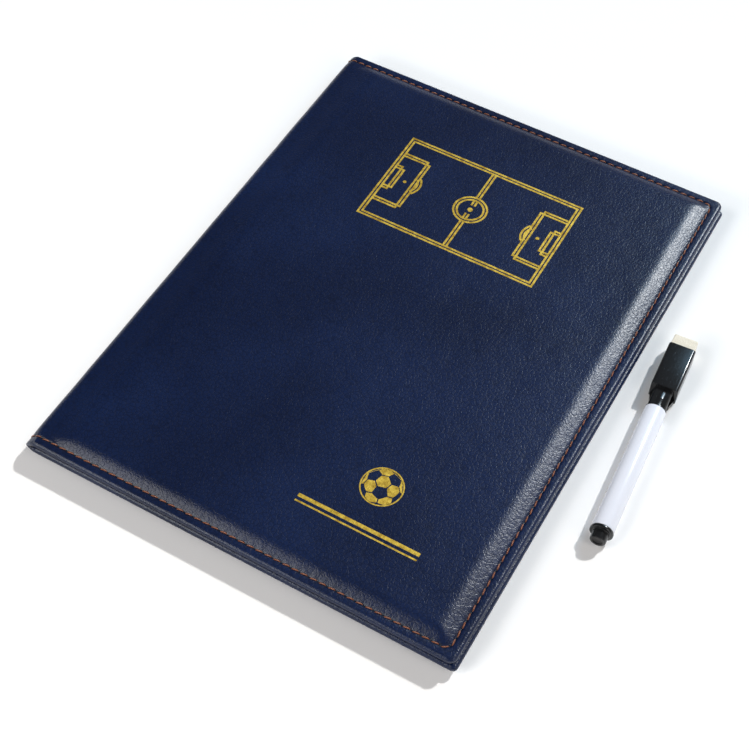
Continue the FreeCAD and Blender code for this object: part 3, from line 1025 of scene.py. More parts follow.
@dataclass
class PaddedCover:
    """One padded cover: leather over foam, seam, rolled edges, sheets and seam thread."""

    side: str
    body: str
    width: float
    corner: float
    face: Face
    seed: int
    sizes: FolderSizes = FOLDER
    # steps of the rolled edge over which the painted gap shade fades in
    gap_shade_start: int = 5
    gap_shade_run: int = 4

    @property
    def level(self) -> float:
        """Height of the outer face beside the padding."""
        return self.sizes.middle_z + self.face.value * self.sizes.fold_radius

    @property
    def seam_x(self) -> float:
        """Distance of the fore-edge seam from the fold line."""
        return self.width - self.sizes.seam_inset

    @property
    def seam_straight(self) -> float:
        """Length of seam from the middle of the spine to the rounded corner."""
        return self.sizes.quarter_fold + self.seam_x - self.sizes.seam_corner

    @property
    def half_seam(self) -> float:
        """Length of seam from the middle of the spine to the middle of the fore-edge."""
        s = self.sizes
        return self.seam_straight + s.seam_corner * (math.pi / 2 - 1) + s.seam_y

    @property
    def pitch(self) -> float:
        """Stitch length that divides the seam evenly."""
        return self.half_seam / round(self.half_seam / self.sizes.stitch_pitch)

    def seam_place(self, x: np.ndarray, y: np.ndarray) -> tuple[np.ndarray, np.ndarray]:
        """Return how far points lie outside the seam, and where along it.

        Args:
            x: distances from the fold line.
            y: heights on the page.

        Returns:
            Distance from the seam line and length along it from the middle of the spine.
        """
        s = self.sizes
        right = x - self.seam_x + s.seam_corner
        up = np.abs(y) - s.seam_y + s.seam_corner
        turn = np.clip(np.arctan2(right, up), 0, math.pi / 2)
        bent = (right > 0) & (up > 0)
        across = np.where(bent, np.hypot(right, up), np.maximum(right, up)) - s.seam_corner
        down_fore = s.corner_arc - np.minimum(up, 0)
        straight = np.where(up > right, np.minimum(right, 0), down_fore)
        along = self.seam_straight + np.where(bent, s.seam_corner * turn, straight)
        return across, along

    def seam_point(self, along: float, sign: float) -> Pair:
        """Return the point of the seam at a length from the middle of the spine.

        Args:
            along: length from the middle of the spine.
            sign: 1 for the top half of the seam, -1 for the bottom half.

        Returns:
            Distance from the fold line and height on the page.
        """
        s = self.sizes
        past = along - self.seam_straight
        turn = min(max(past / s.seam_corner, 0.0), math.pi / 2)
        x = self.seam_x - s.seam_corner * (1 - math.sin(turn)) + min(past, 0.0)
        y = s.seam_y - s.seam_corner * (1 - math.cos(turn)) - max(past - s.corner_arc, 0.0)
        return x, sign * y

    def world(self, x: Any, y: Any, z: Any) -> np.ndarray:
        """Place points given by fold distance, height on the page and lift off the outer face."""
        x, y, z = np.broadcast_arrays(x, y, z)
        return np.stack([self.sizes.fold_x + x, y, self.level + self.face.value * z], axis=-1)

    def lift(self, x: np.ndarray, y: np.ndarray) -> np.ndarray:
        """Return how far the leather rises off the flat outer face.

        Args:
            x: distances from the fold line.
            y: heights on the page.

        Returns:
            Rise of each point in metres.
        """
        s = self.sizes
        pad = s.seam_inset + s.seam_width / 2
        drops = [1 - smooth(x / s.crown_spine_run)]
        for inside, (run, soft) in (
            (self.width - x, s.fore_crown),
            (s.half_height - y, s.end_crown),
            (s.half_height + y, s.end_crown),
        ):
            drops.append(1 - shoulder((inside - pad) / run, soft))
        drop = sum(d**s.crown_blend for d in drops) ** (1 / s.crown_blend)
        climb = 1 - np.clip(drop, 0, 1)
        rise = s.crown_rise * climb
        for order, (depth, longest) in enumerate(s.waves):
            rise = rise + depth * climb * ripple(x, y, self.seed + order, longest)
        across, along = self.seam_place(x, y)
        phase = stitch_phase(along, self.pitch)
        valley = np.exp(-((across / s.seam_valley) ** 2))
        pull = np.exp(-((across / s.pull_reach) ** 2))
        rise = rise - valley * (s.seam_depth + s.hole_depth * phase**4)
        return rise - s.pull_depth * pull * phase

    def painted_hole_shade(self, x: np.ndarray, y: np.ndarray) -> np.ndarray:
        """Return painted shade at the needle holes for each point, from 0 to 1."""
        across, along = self.seam_place(x, y)
        return self.sizes.hole_shade(across, stitch_phase(along, self.pitch))

    def grid_lines(self) -> tuple[np.ndarray, np.ndarray]:
        """Lay out the outer face, with lines closer at the seam and the edges.

        Returns:
            The grid lines across and up the face.
        """
        s = self.sizes
        corner = self.corner - s.edge_radius
        near = np.array([0.35, 0.75, 1.2]) * MM
        tail = np.array([0.0, 0.35, 0.8, 1.5, 2.2]) * MM
        right = self.width - s.edge_radius
        top = s.half_height - s.edge_radius
        fixed_x = [0.0, s.board_setback, s.board_setback + 0.05 * MM, right - corner]
        fine_x = [self.seam_x + sign * n for n in near for sign in (-1, 1)]
        steps_x = np.arange(-s.quarter_fold, self.seam_x, self.pitch / 4)
        steps_x = steps_x[steps_x > s.board_setback + 0.4 * MM]
        xs = spread(fixed_x, [self.seam_x], right - tail, fine_x, steps_x)
        half_y = np.arange(0, s.seam_y, self.pitch / 4)
        steps_y = [*-half_y, *half_y]
        edges = [sign * (top - t) for t in (*tail, corner) for sign in (-1, 1)]
        beside = [s.seam_y + part * n for n in near for part in (-1, 1)]
        fine_y = [sign * place for place in beside for sign in (-1, 1)]
        ys = spread(edges, [-s.seam_y, s.seam_y], fine_y, steps_y)
        return xs, ys

    def rim_profile(self) -> list[Pair]:
        """Lay out the section of the rolled edge.

        Returns:
            Steps outwards and down from the outer face, as far as the inner side.
        """
        s = self.sizes
        turns = [math.radians(a) for a in (15, 30, 45, 60, 75, 90)]
        upper = [(s.edge_radius * math.sin(t), -s.edge_radius * (1 - math.cos(t))) for t in turns]
        lower = [(out, -s.stack - down) for out, down in reversed(upper)]
        return [*upper, *lower, (0.0, -s.stack)]

    def painted_gap_shade(self, step: int) -> float:
        """Return the painted shade and dulling of a rolled-edge step, under the upper cover."""
        share = min(max((step - self.gap_shade_start) / self.gap_shade_run, 0.0), 1.0)
        return share if self.face is Face.UP else 0.0

    @property
    def straight_ends(self) -> Pair:
        """Ends of the flat face's straight sides, across and up, beside its round corners."""
        edge = self.sizes.edge_radius
        corner = self.corner - edge
        return self.width - edge - corner, self.sizes.half_height - edge - corner

    def face_points(self, xs: np.ndarray, ys: np.ndarray) -> tuple[np.ndarray, np.ndarray]:
        """Draw the grid of the outer face in at its two round corners.

        Args:
            xs: grid lines across the face.
            ys: grid lines up the face.

        Returns:
            Distances from the fold line and heights on the page.
        """
        gx, gy = np.meshgrid(xs, ys, indexing="ij")
        corner = self.corner - self.sizes.edge_radius
        right, top = self.straight_ends
        a = np.clip((gx - right) / corner, 0, None)
        b = np.clip((np.abs(gy) - top) / corner, 0, None)
        length = np.maximum(np.hypot(a, b), TINY)
        shrink = np.where((a > 0) & (b > 0), np.maximum(a, b) / length, 1.0)
        px = np.where(a > 0, right + a * shrink * corner, gx)
        py = np.where(b > 0, np.sign(gy) * (top + b * shrink * corner), gy)
        return px, py

    def build_leather(self) -> bpy.types.Object:
        """Build the leather as a closed form: face, rolled edges and flat inner side.

        Returns:
            The leather piece, which also stands for the foam under it.
        """
        s = self.sizes
        xs, ys = self.grid_lines()
        px, py = self.face_points(xs, ys)
        build = MeshBuilder()
        outer = build.grid(self.world(px, py, self.lift(px, py)))
        # painted shade at the needle holes and along the seam groove
        marks = {"painted_shade": [self.painted_hole_shade(px, py).ravel()]}
        marks.update({word: [np.zeros(px.size)] for word in ("edge", "gap")})
        for i in range(len(xs) - 1):
            build.bridge(outer[i], outer[i + 1])

        nx, ny = len(xs), len(ys)
        border = [(i, 0) for i in range(nx)]
        border += [(nx - 1, j) for j in range(1, ny)]
        border += [(i, ny - 1) for i in range(nx - 2, -1, -1)]
        path = np.array([[px[i, j], py[i, j]] for i, j in border])
        right, top = self.straight_ends
        away = path - np.array([[min(x, right), np.clip(y, -top, top)] for x, y in path])
        away /= np.maximum(np.linalg.norm(away, axis=1), TINY)[:, None]
        start = self.lift(path[:, 0], path[:, 1])
        rings = [[outer[i, j] for i, j in border]]
        rim = self.rim_profile()
        for step, (out, down) in enumerate(rim):
            fade = start * max(0.0, 1 - 0.5 * step)
            spots = path + away * out
            ring = build.add(self.world(spots[:, 0], spots[:, 1], down + fade))
            build.bridge(rings[-1], ring)
            rings.append(ring)
            # edge wear peaks mid-roll; the upper cover's underside gets painted shade where it
            # faces the gap
            shares = (0.0, math.sin(math.pi * (step + 1) / len(rim)), self.painted_gap_shade(step))
            for word, share in zip(("painted_shade", "edge", "gap"), shares):
                marks[word].append(np.full(len(ring), share))

        inner_y = ys[1:-1]
        walls = []
        tuck = np.where(np.abs(inner_y) > s.half_height - s.turn_in, s.tuck, 0.0)
        for x, z in ((0.0, -s.skin), (s.board_setback - tuck, -s.skin), (xs[2] - tuck, -s.stack)):
            walls.append(build.add(self.world(x, inner_y, z)))
            for parts in marks.values():
                parts.append(np.zeros(len(inner_y)))
        rows = [list(outer[0])]
        rows += [[rings[-1][i], *wall, rings[-1][-1 - i]] for i, wall in enumerate(walls)]
        for before, after in zip(rows, rows[1:]):
            build.bridge(before, after)
        build.faces += [[r[0] for r in rings], [r[-1] for r in rings]]
        build.faces.append([*rings[-1][2:-2], *reversed(walls[2])])
        flat_marks = {word: np.concatenate(parts) for word, parts in marks.items()}
        leather = build.piece(f"{self.side}_padded_leather", LEATHER, flat_marks)
        crisp(leather, 60)
        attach(leather, self.body)
        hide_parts(f"{self.side}_skin", f"{self.side}_foam")
        return leather

    def build_thread(self) -> bpy.types.Object:
        """Build the seam thread along the fore-edge and the two ends.

        Returns:
            The thread piece.
        """
        s = self.sizes
        normal = Vector((0, 0, self.face.value))
        row = Stitches()

        def track(along: float, sign: float) -> tuple[Vector, Vector]:
            """Return the bottom of the seam groove and its outward normal."""
            x, y = self.seam_point(along, sign)
            return Vector(self.world(x, y, -s.thread_level)), normal

        first = math.ceil(s.quarter_fold / self.pitch)
        for sign in (-1, 1):
            for i in range(first, round(self.half_seam / self.pitch)):
                row.add(i * self.pitch, (i + 1) * self.pitch, lambda t, k=sign: track(t, k))
        thread = row.builder.piece(f"{self.side}_seam_thread", THREAD)
        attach(thread, self.body)
        return thread

    def build_pitch_lines(self) -> bpy.types.Object:
        """Build the white lines of half a pitch on the inner sheet.

        Returns:
            The printed lines.
        """
        sheet = self.sizes.fold_radius - self.sizes.sheet
        ink = Ribbons(lambda x, y: self.world(x, y, -sheet), -INK * self.face.value)
        HalfPitch().draw(ink)
        lines = ink.builder.piece(f"{self.side}_pitch_lines", LINES)
        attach(lines, self.body)
        return lines

    def dress_layers(self) -> None:
        """Give the layers under the leather their finishes."""
        for word, finish in (
            ("stiffener", GREYBOARD),
            ("adhesive_film", FILM),
            ("steel_sheet", STEEL),
            ("pitch_sheet", PITCH),
        ):
            dress_node(f"{self.side}_{word}", finish)

    def build(self) -> list[bpy.types.Object]:
        """Build and dress the whole cover.

        Returns:
            The new pieces.
        """
        self.dress_layers()
        return [self.build_leather(), self.build_thread(), self.build_pitch_lines()]


@dataclass
class FoilPrint:
    """Gold foil stamped on the front: a field plan, a ball and a plain double rule."""

    cover: PaddedCover
    thick: float = 0.06 * MM
    sunk: float = 0.02 * MM
    plan_centre: Pair = (115.5 * MM, 82.0 * MM)
    plan_size: Pair = (104.0 * MM, 62.0 * MM)
    stroke: float = 1.15 * MM
    gap: float = 0.75 * MM
    middle_dot: float = 1.5 * MM
    middle_gap: float = 3.2 * MM
    spot_dot: float = 1.0 * MM
    bow: float = 41.0
    ball_centre: Pair = (161.3 * MM, -97.0 * MM)
    ball_radius: float = 11.0 * MM
    ball_line: float = 0.7 * MM
    ball_turn: Pair = (14.0, 52.0)
    panel_cut: float = 0.36
    panel_inset: float = 0.085
    panel_reach: float = 0.95
    panel_limit: float = 0.12
    panel_least: float = 0.8 * MM
    rule: Point = (128.7 * MM, 195.0 * MM, -122.4 * MM)
    rule_lines: Pairs = ((1.7 * MM, 2.0 * MM), (-1.5 * MM, 0.9 * MM))

    def paint(self) -> Ribbons:
        """Return strokes that lie on the leather."""
        lift = self.cover.lift

        def surface(x: np.ndarray, y: np.ndarray) -> np.ndarray:
            """Return points a hair below the leather's face, where the foil starts."""
            return self.cover.world(x, y, lift(x, y) - self.sunk)

        return Ribbons(surface, self.thick)

    def double(self, foil: Ribbons, line: Callable[[float], Any], closed: bool = False) -> None:
        """Draw two parallel strokes.

        Args:
            foil: strokes that receive them.
            line: gives the line's points for an offset to its side.
            closed: whether the line ends where it starts.
        """
        for offset in (-(self.stroke + self.gap) / 2, (self.stroke + self.gap) / 2):
            foil.stroke(line(offset), self.stroke, closed)

    def build_plan(self) -> bpy.types.Object:
        """Build the field plan in double strokes.

        Returns:
            The foil piece.
        """
        foil = self.paint()
        cx, cy = self.plan_centre
        w, h = self.plan_size[0] / 2, self.plan_size[1] / 2
        edge = self.stroke + self.gap / 2

        def frame_line(o: float) -> list[Pair]:
            """Return the outer frame moved outwards by an offset."""
            return [
                (cx - w - o, cy - h - o),
                (cx + w + o, cy - h - o),
                (cx + w + o, cy + h + o),
                (cx - w - o, cy + h + o),
            ]

        self.double(foil, frame_line, closed=True)
        ring = FIELD.ring / FIELD.wide * 2 * h
        self.double(foil, lambda o: arc((cx, cy), ring + o, 0, 355, 72), closed=True)
        foil.slab(arc((cx, cy), self.middle_dot, 0, 350, 36))
        for sign in (-1, 1):
            near, far = cy + sign * (ring + edge), cy + sign * (h - edge)
            self.double(foil, lambda o: [(cx + o, near), (cx + o, far)])
            start, inner = cy + sign * self.middle_gap, cy + sign * (ring - edge)
            self.double(foil, lambda o: [(cx + o, start), (cx + o, inner)])
        for sign in (-1, 1):
            goal = cx + sign * (w - edge)
            for deep, wide in FIELD.boxes:
                reach = deep / FIELD.long * 2 * w
                half = wide / FIELD.wide * h
                self.double(
                    foil,
                    lambda o: [
                        (goal, cy - half - o),
                        (cx + sign * (w - reach + o), cy - half - o),
                        (cx + sign * (w - reach + o), cy + half + o),
                        (goal, cy + half + o),
                    ],
                )
            spot = (cx + sign * (w - FIELD.spot / FIELD.long * 2 * w), cy)
            foil.slab(arc(spot, self.spot_dot, 0, 345, 24))
            first = (180 if sign > 0 else 0) - self.bow
            self.double(foil, lambda o: arc(spot, ring + o, first, first + 2 * self.bow, 28))
        return self.seat(foil.builder.piece("front_foil_plan", FOIL))

    def build_rule(self) -> bpy.types.Object:
        """Build the plain double rule under the ball.

        Returns:
            The foil piece.
        """
        foil = self.paint()
        left, right, level = self.rule
        spots = np.linspace(left, right, 24)
        for offset, width in self.rule_lines:
            heights = np.full(len(spots), level + offset)
            foil.stroke(np.stack([spots, heights], axis=1), width)
        return self.seat(foil.builder.piece("front_foil_rule", FOIL))

    def build_ball(self) -> bpy.types.Object:
        """Build the ball from the panels of a truncated icosahedron.

        Returns:
            The foil piece.
        """
        foil = self.paint()
        golden = (1 + math.sqrt(5)) / 2
        tips = [
            Vector(p).normalized()
            for a in (-1, 1)
            for b in (-golden, golden)
            for p in ((0, a, b), (a, b, 0), (b, 0, a))
        ]
        spin, tilt = (math.radians(a) for a in self.ball_turn)
        turn = Matrix.Rotation(spin, 3, "Z") @ Matrix.Rotation(tilt, 3, "X")
        tips = [turn @ t for t in tips]
        reach = min((tips[0] - t).length for t in tips[1:]) * 1.05
        for trio in itertools.combinations(tips, 3):
            if all((p - q).length < reach for p in trio for q in trio):
                self.panel(foil, trio)
        rim = arc(self.ball_centre, self.ball_radius - self.ball_line / 2, 0, 356, 90)
        foil.stroke(rim, self.ball_line, closed=True)
        return self.seat(foil.builder.piece("front_foil_ball", FOIL))

    def panel(self, foil: Ribbons, trio: Sequence[Vector]) -> None:
        """Add the six-sided panel between three tips, as far as it is on the near side.

        Args:
            foil: strokes that receive the panel.
            trio: the three tips.
        """
        middle = (trio[0] + trio[1] + trio[2]).normalized()
        corners = []
        for a, b in ((0, 1), (1, 2), (2, 0)):
            corners += [trio[a].lerp(trio[b], cut) for cut in (self.panel_cut, 1 - self.panel_cut)]
        rim = []
        for p, q in zip(corners, corners[1:] + corners[:1]):
            rim.extend(p.lerp(q, share / 8).normalized() for share in range(8))
        rim = [p.lerp(middle, self.panel_inset).normalized() * self.panel_reach for p in rim]
        hidden = [p for p in rim if p.z <= self.panel_limit]
        if len(rim) - len(hidden) < 6:
            return
        if hidden:
            while rim[0].z > self.panel_limit:
                rim = rim[1:] + rim[:1]
        shown = [[p.x, p.y] for p in rim if p.z > self.panel_limit]
        spots = np.array(shown) * self.ball_radius
        if np.ptp(spots, axis=0).min() >= self.panel_least:
            foil.slab(spots + np.array(self.ball_centre))

    def seat(self, piece: bpy.types.Object) -> bpy.types.Object:
        """Let a foil piece ride on the front cover.

        Args:
            piece: the foil piece.

        Returns:
            The same piece.
        """
        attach(piece, self.cover.body)
        crisp(piece)
        return piece

    def build(self) -> list[bpy.types.Object]:
        """Build every foil piece."""
        return [self.build_plan(), self.build_ball(), self.build_rule()]


@dataclass
class SoftSpine:
    """The soft fold: leather, lining and the ends of the seams, in an upper and a lower half."""

    front: PaddedCover
    back: PaddedCover
    sizes: FolderSizes = FOLDER
    steps: int = 36
    seed: int = 31
    wave: Pair = (0.22 * MM, 50.0 * MM)
    hole_depth: float = 0.2 * MM
    hem_layers: float = 1.9
    thread_radius: float = 0.31 * MM
    lining_paths: Pairs = ((4.0 * MM, 1.9 * MM), (3.2 * MM, 1.1 * MM))
    lining_flap: float = 14.0 * MM
    lining_bend: float = 0.25 * MM
    lining_gap: float = 0.1 * MM

    def cover(self, face: Face) -> PaddedCover:
        """Return the cover that one half of the spine runs into."""
        return self.front if face is Face.UP else self.back

    def ring(self, angle: Any, radius: Any, y: Any, face: Face) -> np.ndarray:
        """Place points on the fold, which is pinched to a point at its two ends.

        Args:
            angle: degrees from the middle of the spine to the fold line.
            radius: distance from the middle of the fold, before the pinch.
            y: place along the spine.
            face: half of the spine.

        Returns:
            The points in the shared frame.
        """
        s = self.sizes
        turn = np.radians(angle)
        chord = 1 / (np.cos(turn) + np.sin(turn))
        pinch = self.pinch(y)
        reach = radius * (1 - 0.5 * pinch * (1 - chord))
        share = pinch * chord * np.cos(turn)
        low_end = np.asarray(y) < 0
        out, lean = (np.where(low_end, *pair) for pair in zip(*s.spine_tips))
        x = s.fold_x - reach * np.cos(turn) - share * out
        z = s.middle_z + face.value * reach * np.sin(turn) + share * lean
        return np.stack(np.broadcast_arrays(x, y, z), axis=-1)

    def pinch(self, y: Any) -> np.ndarray:
        """Return how far the fold is pinched at a place along it, from 0 to 1."""
        s = self.sizes
        return smooth((np.abs(y) - s.half_height + s.pinch_run) / (s.pinch_run - s.edge_radius))

    def length_lines(self) -> np.ndarray:
        """Lay out the spine, with lines closer at the seams and the ends.

        Returns:
            The grid lines along the spine.
        """
        s = self.sizes
        end = s.half_height - s.edge_radius
        beside = (1.4, 0.9, 0.45, 0, -0.45, -0.9, -1.5, -2.5, -4.0, -6.0)
        close = [end - d * MM for d in (0, 0.25, 0.7, 1.5)]
        close += [s.seam_y + d * MM for d in beside]
        hem = [s.half_height - s.turn_in + d * MM for d in (-0.3, 0.3)]
        lines = [sign * v for v in (*close, *hem) for sign in (-1, 1)]
        return spread(lines, np.linspace(-end, end, 91))

    def surface(self, angle: np.ndarray, y: np.ndarray, face: Face) -> np.ndarray:
        """Return the radius of the outer leather.

        Args:
            angle: degrees from the middle of the spine.
            y: place along the spine.
            face: half of the spine.

        Returns:
            Radius of each point.
        """
        s = self.sizes
        turn = np.radians(angle)
        depth, longest = self.wave
        phase = stitch_phase(turn * s.fold_radius, self.cover(face).pitch)
        valley = np.exp(-(((np.abs(y) - s.seam_y) / s.seam_valley) ** 2))
        wander = ripple(np.sin(turn) * face.value * s.fold_radius, y, self.seed, longest)
        fade = np.clip(np.cos(turn) * 2.0, 0, 1)
        radius = s.fold_radius + depth * wander * fade
        return radius - valley * (s.seam_depth + self.hole_depth * phase**4)

    def build_leather(self, face: Face) -> bpy.types.Object:
        """Build the leather of one half with its turned-in hems.

        Args:
            face: half of the spine.

        Returns:
            The leather piece.
        """
        s = self.sizes
        ys = self.length_lines()
        angles = np.linspace(0, 90, self.steps + 1)
        ga, gy = np.meshgrid(angles, ys, indexing="ij")
        build = MeshBuilder()
        outer = self.surface(ga, gy, face)
        hem = self.hem_layers * s.skin
        gathered = hem + (s.stack - hem) * self.pinch(gy)
        inner = s.fold_radius - np.where(np.abs(gy) > s.half_height - s.turn_in, gathered, s.skin)
        top = build.grid(self.ring(ga, outer, gy, face))
        low = build.grid(self.ring(ga, inner, gy, face))
        build.sheet(top, low)
        cover = self.cover(face)
        phase = stitch_phase(np.radians(ga) * s.fold_radius, cover.pitch)
        # painted shade at the needle holes of the seams that cross the fold
        dark = s.hole_shade(np.abs(gy) - s.seam_y, phase)
        painted_shade = [*dark.ravel(), *np.zeros(ga.size)]
        edge, gap = [0.0] * len(painted_shade), [0.0] * len(painted_shade)
        rim = cover.rim_profile()[:-1]
        swell = 0.85 + 0.15 * np.sin(np.radians(angles)) ** 2
        for j in (0, -1):
            rings = [list(top[:, j])]
            for step, (out, down) in enumerate(rim):
                depth = -down / s.stack
                radius = outer[:, j] * (1 - depth) + inner[:, j] * depth
                spots = self.ring(angles, radius, ys[j], face)
                spots[:, 1] += math.copysign(out, ys[j]) * swell
                rings.append(build.add(spots))
                painted_shade += [0.0] * len(spots)
                edge += [math.sin(math.pi * (step + 1) / (len(rim) + 1))] * len(spots)
                # painted shade on the upper half's rolled end, as on the upper cover's edge
                gap += [cover.painted_gap_shade(step)] * len(spots)
            rings.append(list(low[:, j]))
            for before, after in zip(rings, rings[1:]):
                build.bridge(before, after)
            build.faces += [[r[0] for r in rings], [r[-1] for r in rings]]
        marks = {"painted_shade": np.array(painted_shade), "edge": np.array(edge), "gap": np.array(gap)}
        leather = build.piece(f"spine_leather_{face.half}", LEATHER, marks)
        crisp(leather, 50)
        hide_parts("spine_skin")
        return self.bend(leather, face)

    def build_lining(self, face: Face) -> bpy.types.Object:
        """Build the lining of one half with the flap that laps onto the panel.

        Args:
            face: half of the spine.

        Returns:
            The lining piece.
        """
        s = self.sizes
        reach = s.half_height - s.turn_in - self.lining_gap
        ys = np.linspace(-reach, reach, 60)
        turns = np.radians(np.linspace(0, 90, self.steps + 1))
        soft = self.lining_bend
        build = MeshBuilder()
        grids = []
        for radius, step in self.lining_paths:
            bent = [(-radius * math.cos(t), radius * math.sin(t)) for t in turns]
            bent += [(step - soft, radius), (step, radius - soft)]
            bent += [(step, step + soft), (step + soft, step), (self.lining_flap, step)]
            path = np.array(bent)
            px, py = np.meshgrid(path[:, 0], ys, indexing="ij")
            pz = np.repeat(path[:, 1][:, None], len(ys), axis=1)
            spots = np.stack([s.fold_x + px, py, s.middle_z + face.value * pz], axis=-1)
            grids.append(build.grid(spots))
        outer, inner = grids
        build.sheet(outer, inner)
        for j in (0, -1):
            build.bridge(outer[:, j], inner[:, j])
        lining = build.piece(f"spine_lining_{face.half}", LINING)
        crisp(lining, 50)
        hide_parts("spine_lining", f"{self.cover(face).side}_lining_flap")
        return self.bend(lining, face)

    def build_thread(self, face: Face) -> bpy.types.Object:
        """Build the stitches that run over one half of the fold.

        Args:
            face: half of the spine.

        Returns:
            The thread piece.
        """
        s = self.sizes
        pitch = self.cover(face).pitch
        row = Stitches(radius=self.thread_radius, rings=11)

        def track(along: float, y: float) -> tuple[Vector, Vector]:
            """Return the groove and the outward normal at a length from the middle of the spine."""
            angle = min(math.degrees(along / s.fold_radius), 90.0)
            past = max(along - s.quarter_fold, 0.0)
            groove = self.ring(angle, s.fold_radius - s.thread_level, y, face)
            spot = Vector(groove) + Vector((past, 0, 0))
            turn = math.radians(angle)
            return spot, Vector((-math.cos(turn), 0, face.value * math.sin(turn)))

        for sign in (-1, 1):
            for i in range(math.ceil(s.quarter_fold / pitch)):
                row.add(i * pitch, (i + 1) * pitch, lambda t, k=sign: track(t, k * s.seam_y))
        thread = row.builder.piece(f"spine_thread_{face.half}", THREAD)
        return self.bend(thread, face)

    def bend(self, piece: bpy.types.Object, face: Face) -> bpy.types.Object:
        """Bake a piece's placement into its points, the same for both halves.

        Args:
            piece: the piece of one half.
            face: half of the spine.

        Returns:
            The same piece.
        """
        if face is Face.UP:
            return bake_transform(piece)
        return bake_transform(piece)

    def build(self) -> list[bpy.types.Object]:
        """Build both halves of the spine.

        Returns:
            The new pieces.
        """
        made = []
        for face in Face:
            made += [self.build_leather(face), self.build_lining(face), self.build_thread(face)]
        return made


def rounded_outline(wide: float, deep: float, radius: float, count: int) -> np.ndarray:
    """Return a rectangle with rounded corners, counted from the middle of the right side.

    Args:
        wide: full width.
        deep: full depth.
        radius: corner radius.
        count: points on each corner.

    Returns:
        Points of the outline.
    """
    spots = []
    for corner, (sx, sy) in enumerate(((1, 1), (-1, 1), (-1, -1), (1, -1))):
        centre = (sx * (wide / 2 - radius), sy * (deep / 2 - radius))
        spots.append(arc(centre, radius, 90 * corner, 90 * corner + 90, count))
    return np.concatenate(spots)


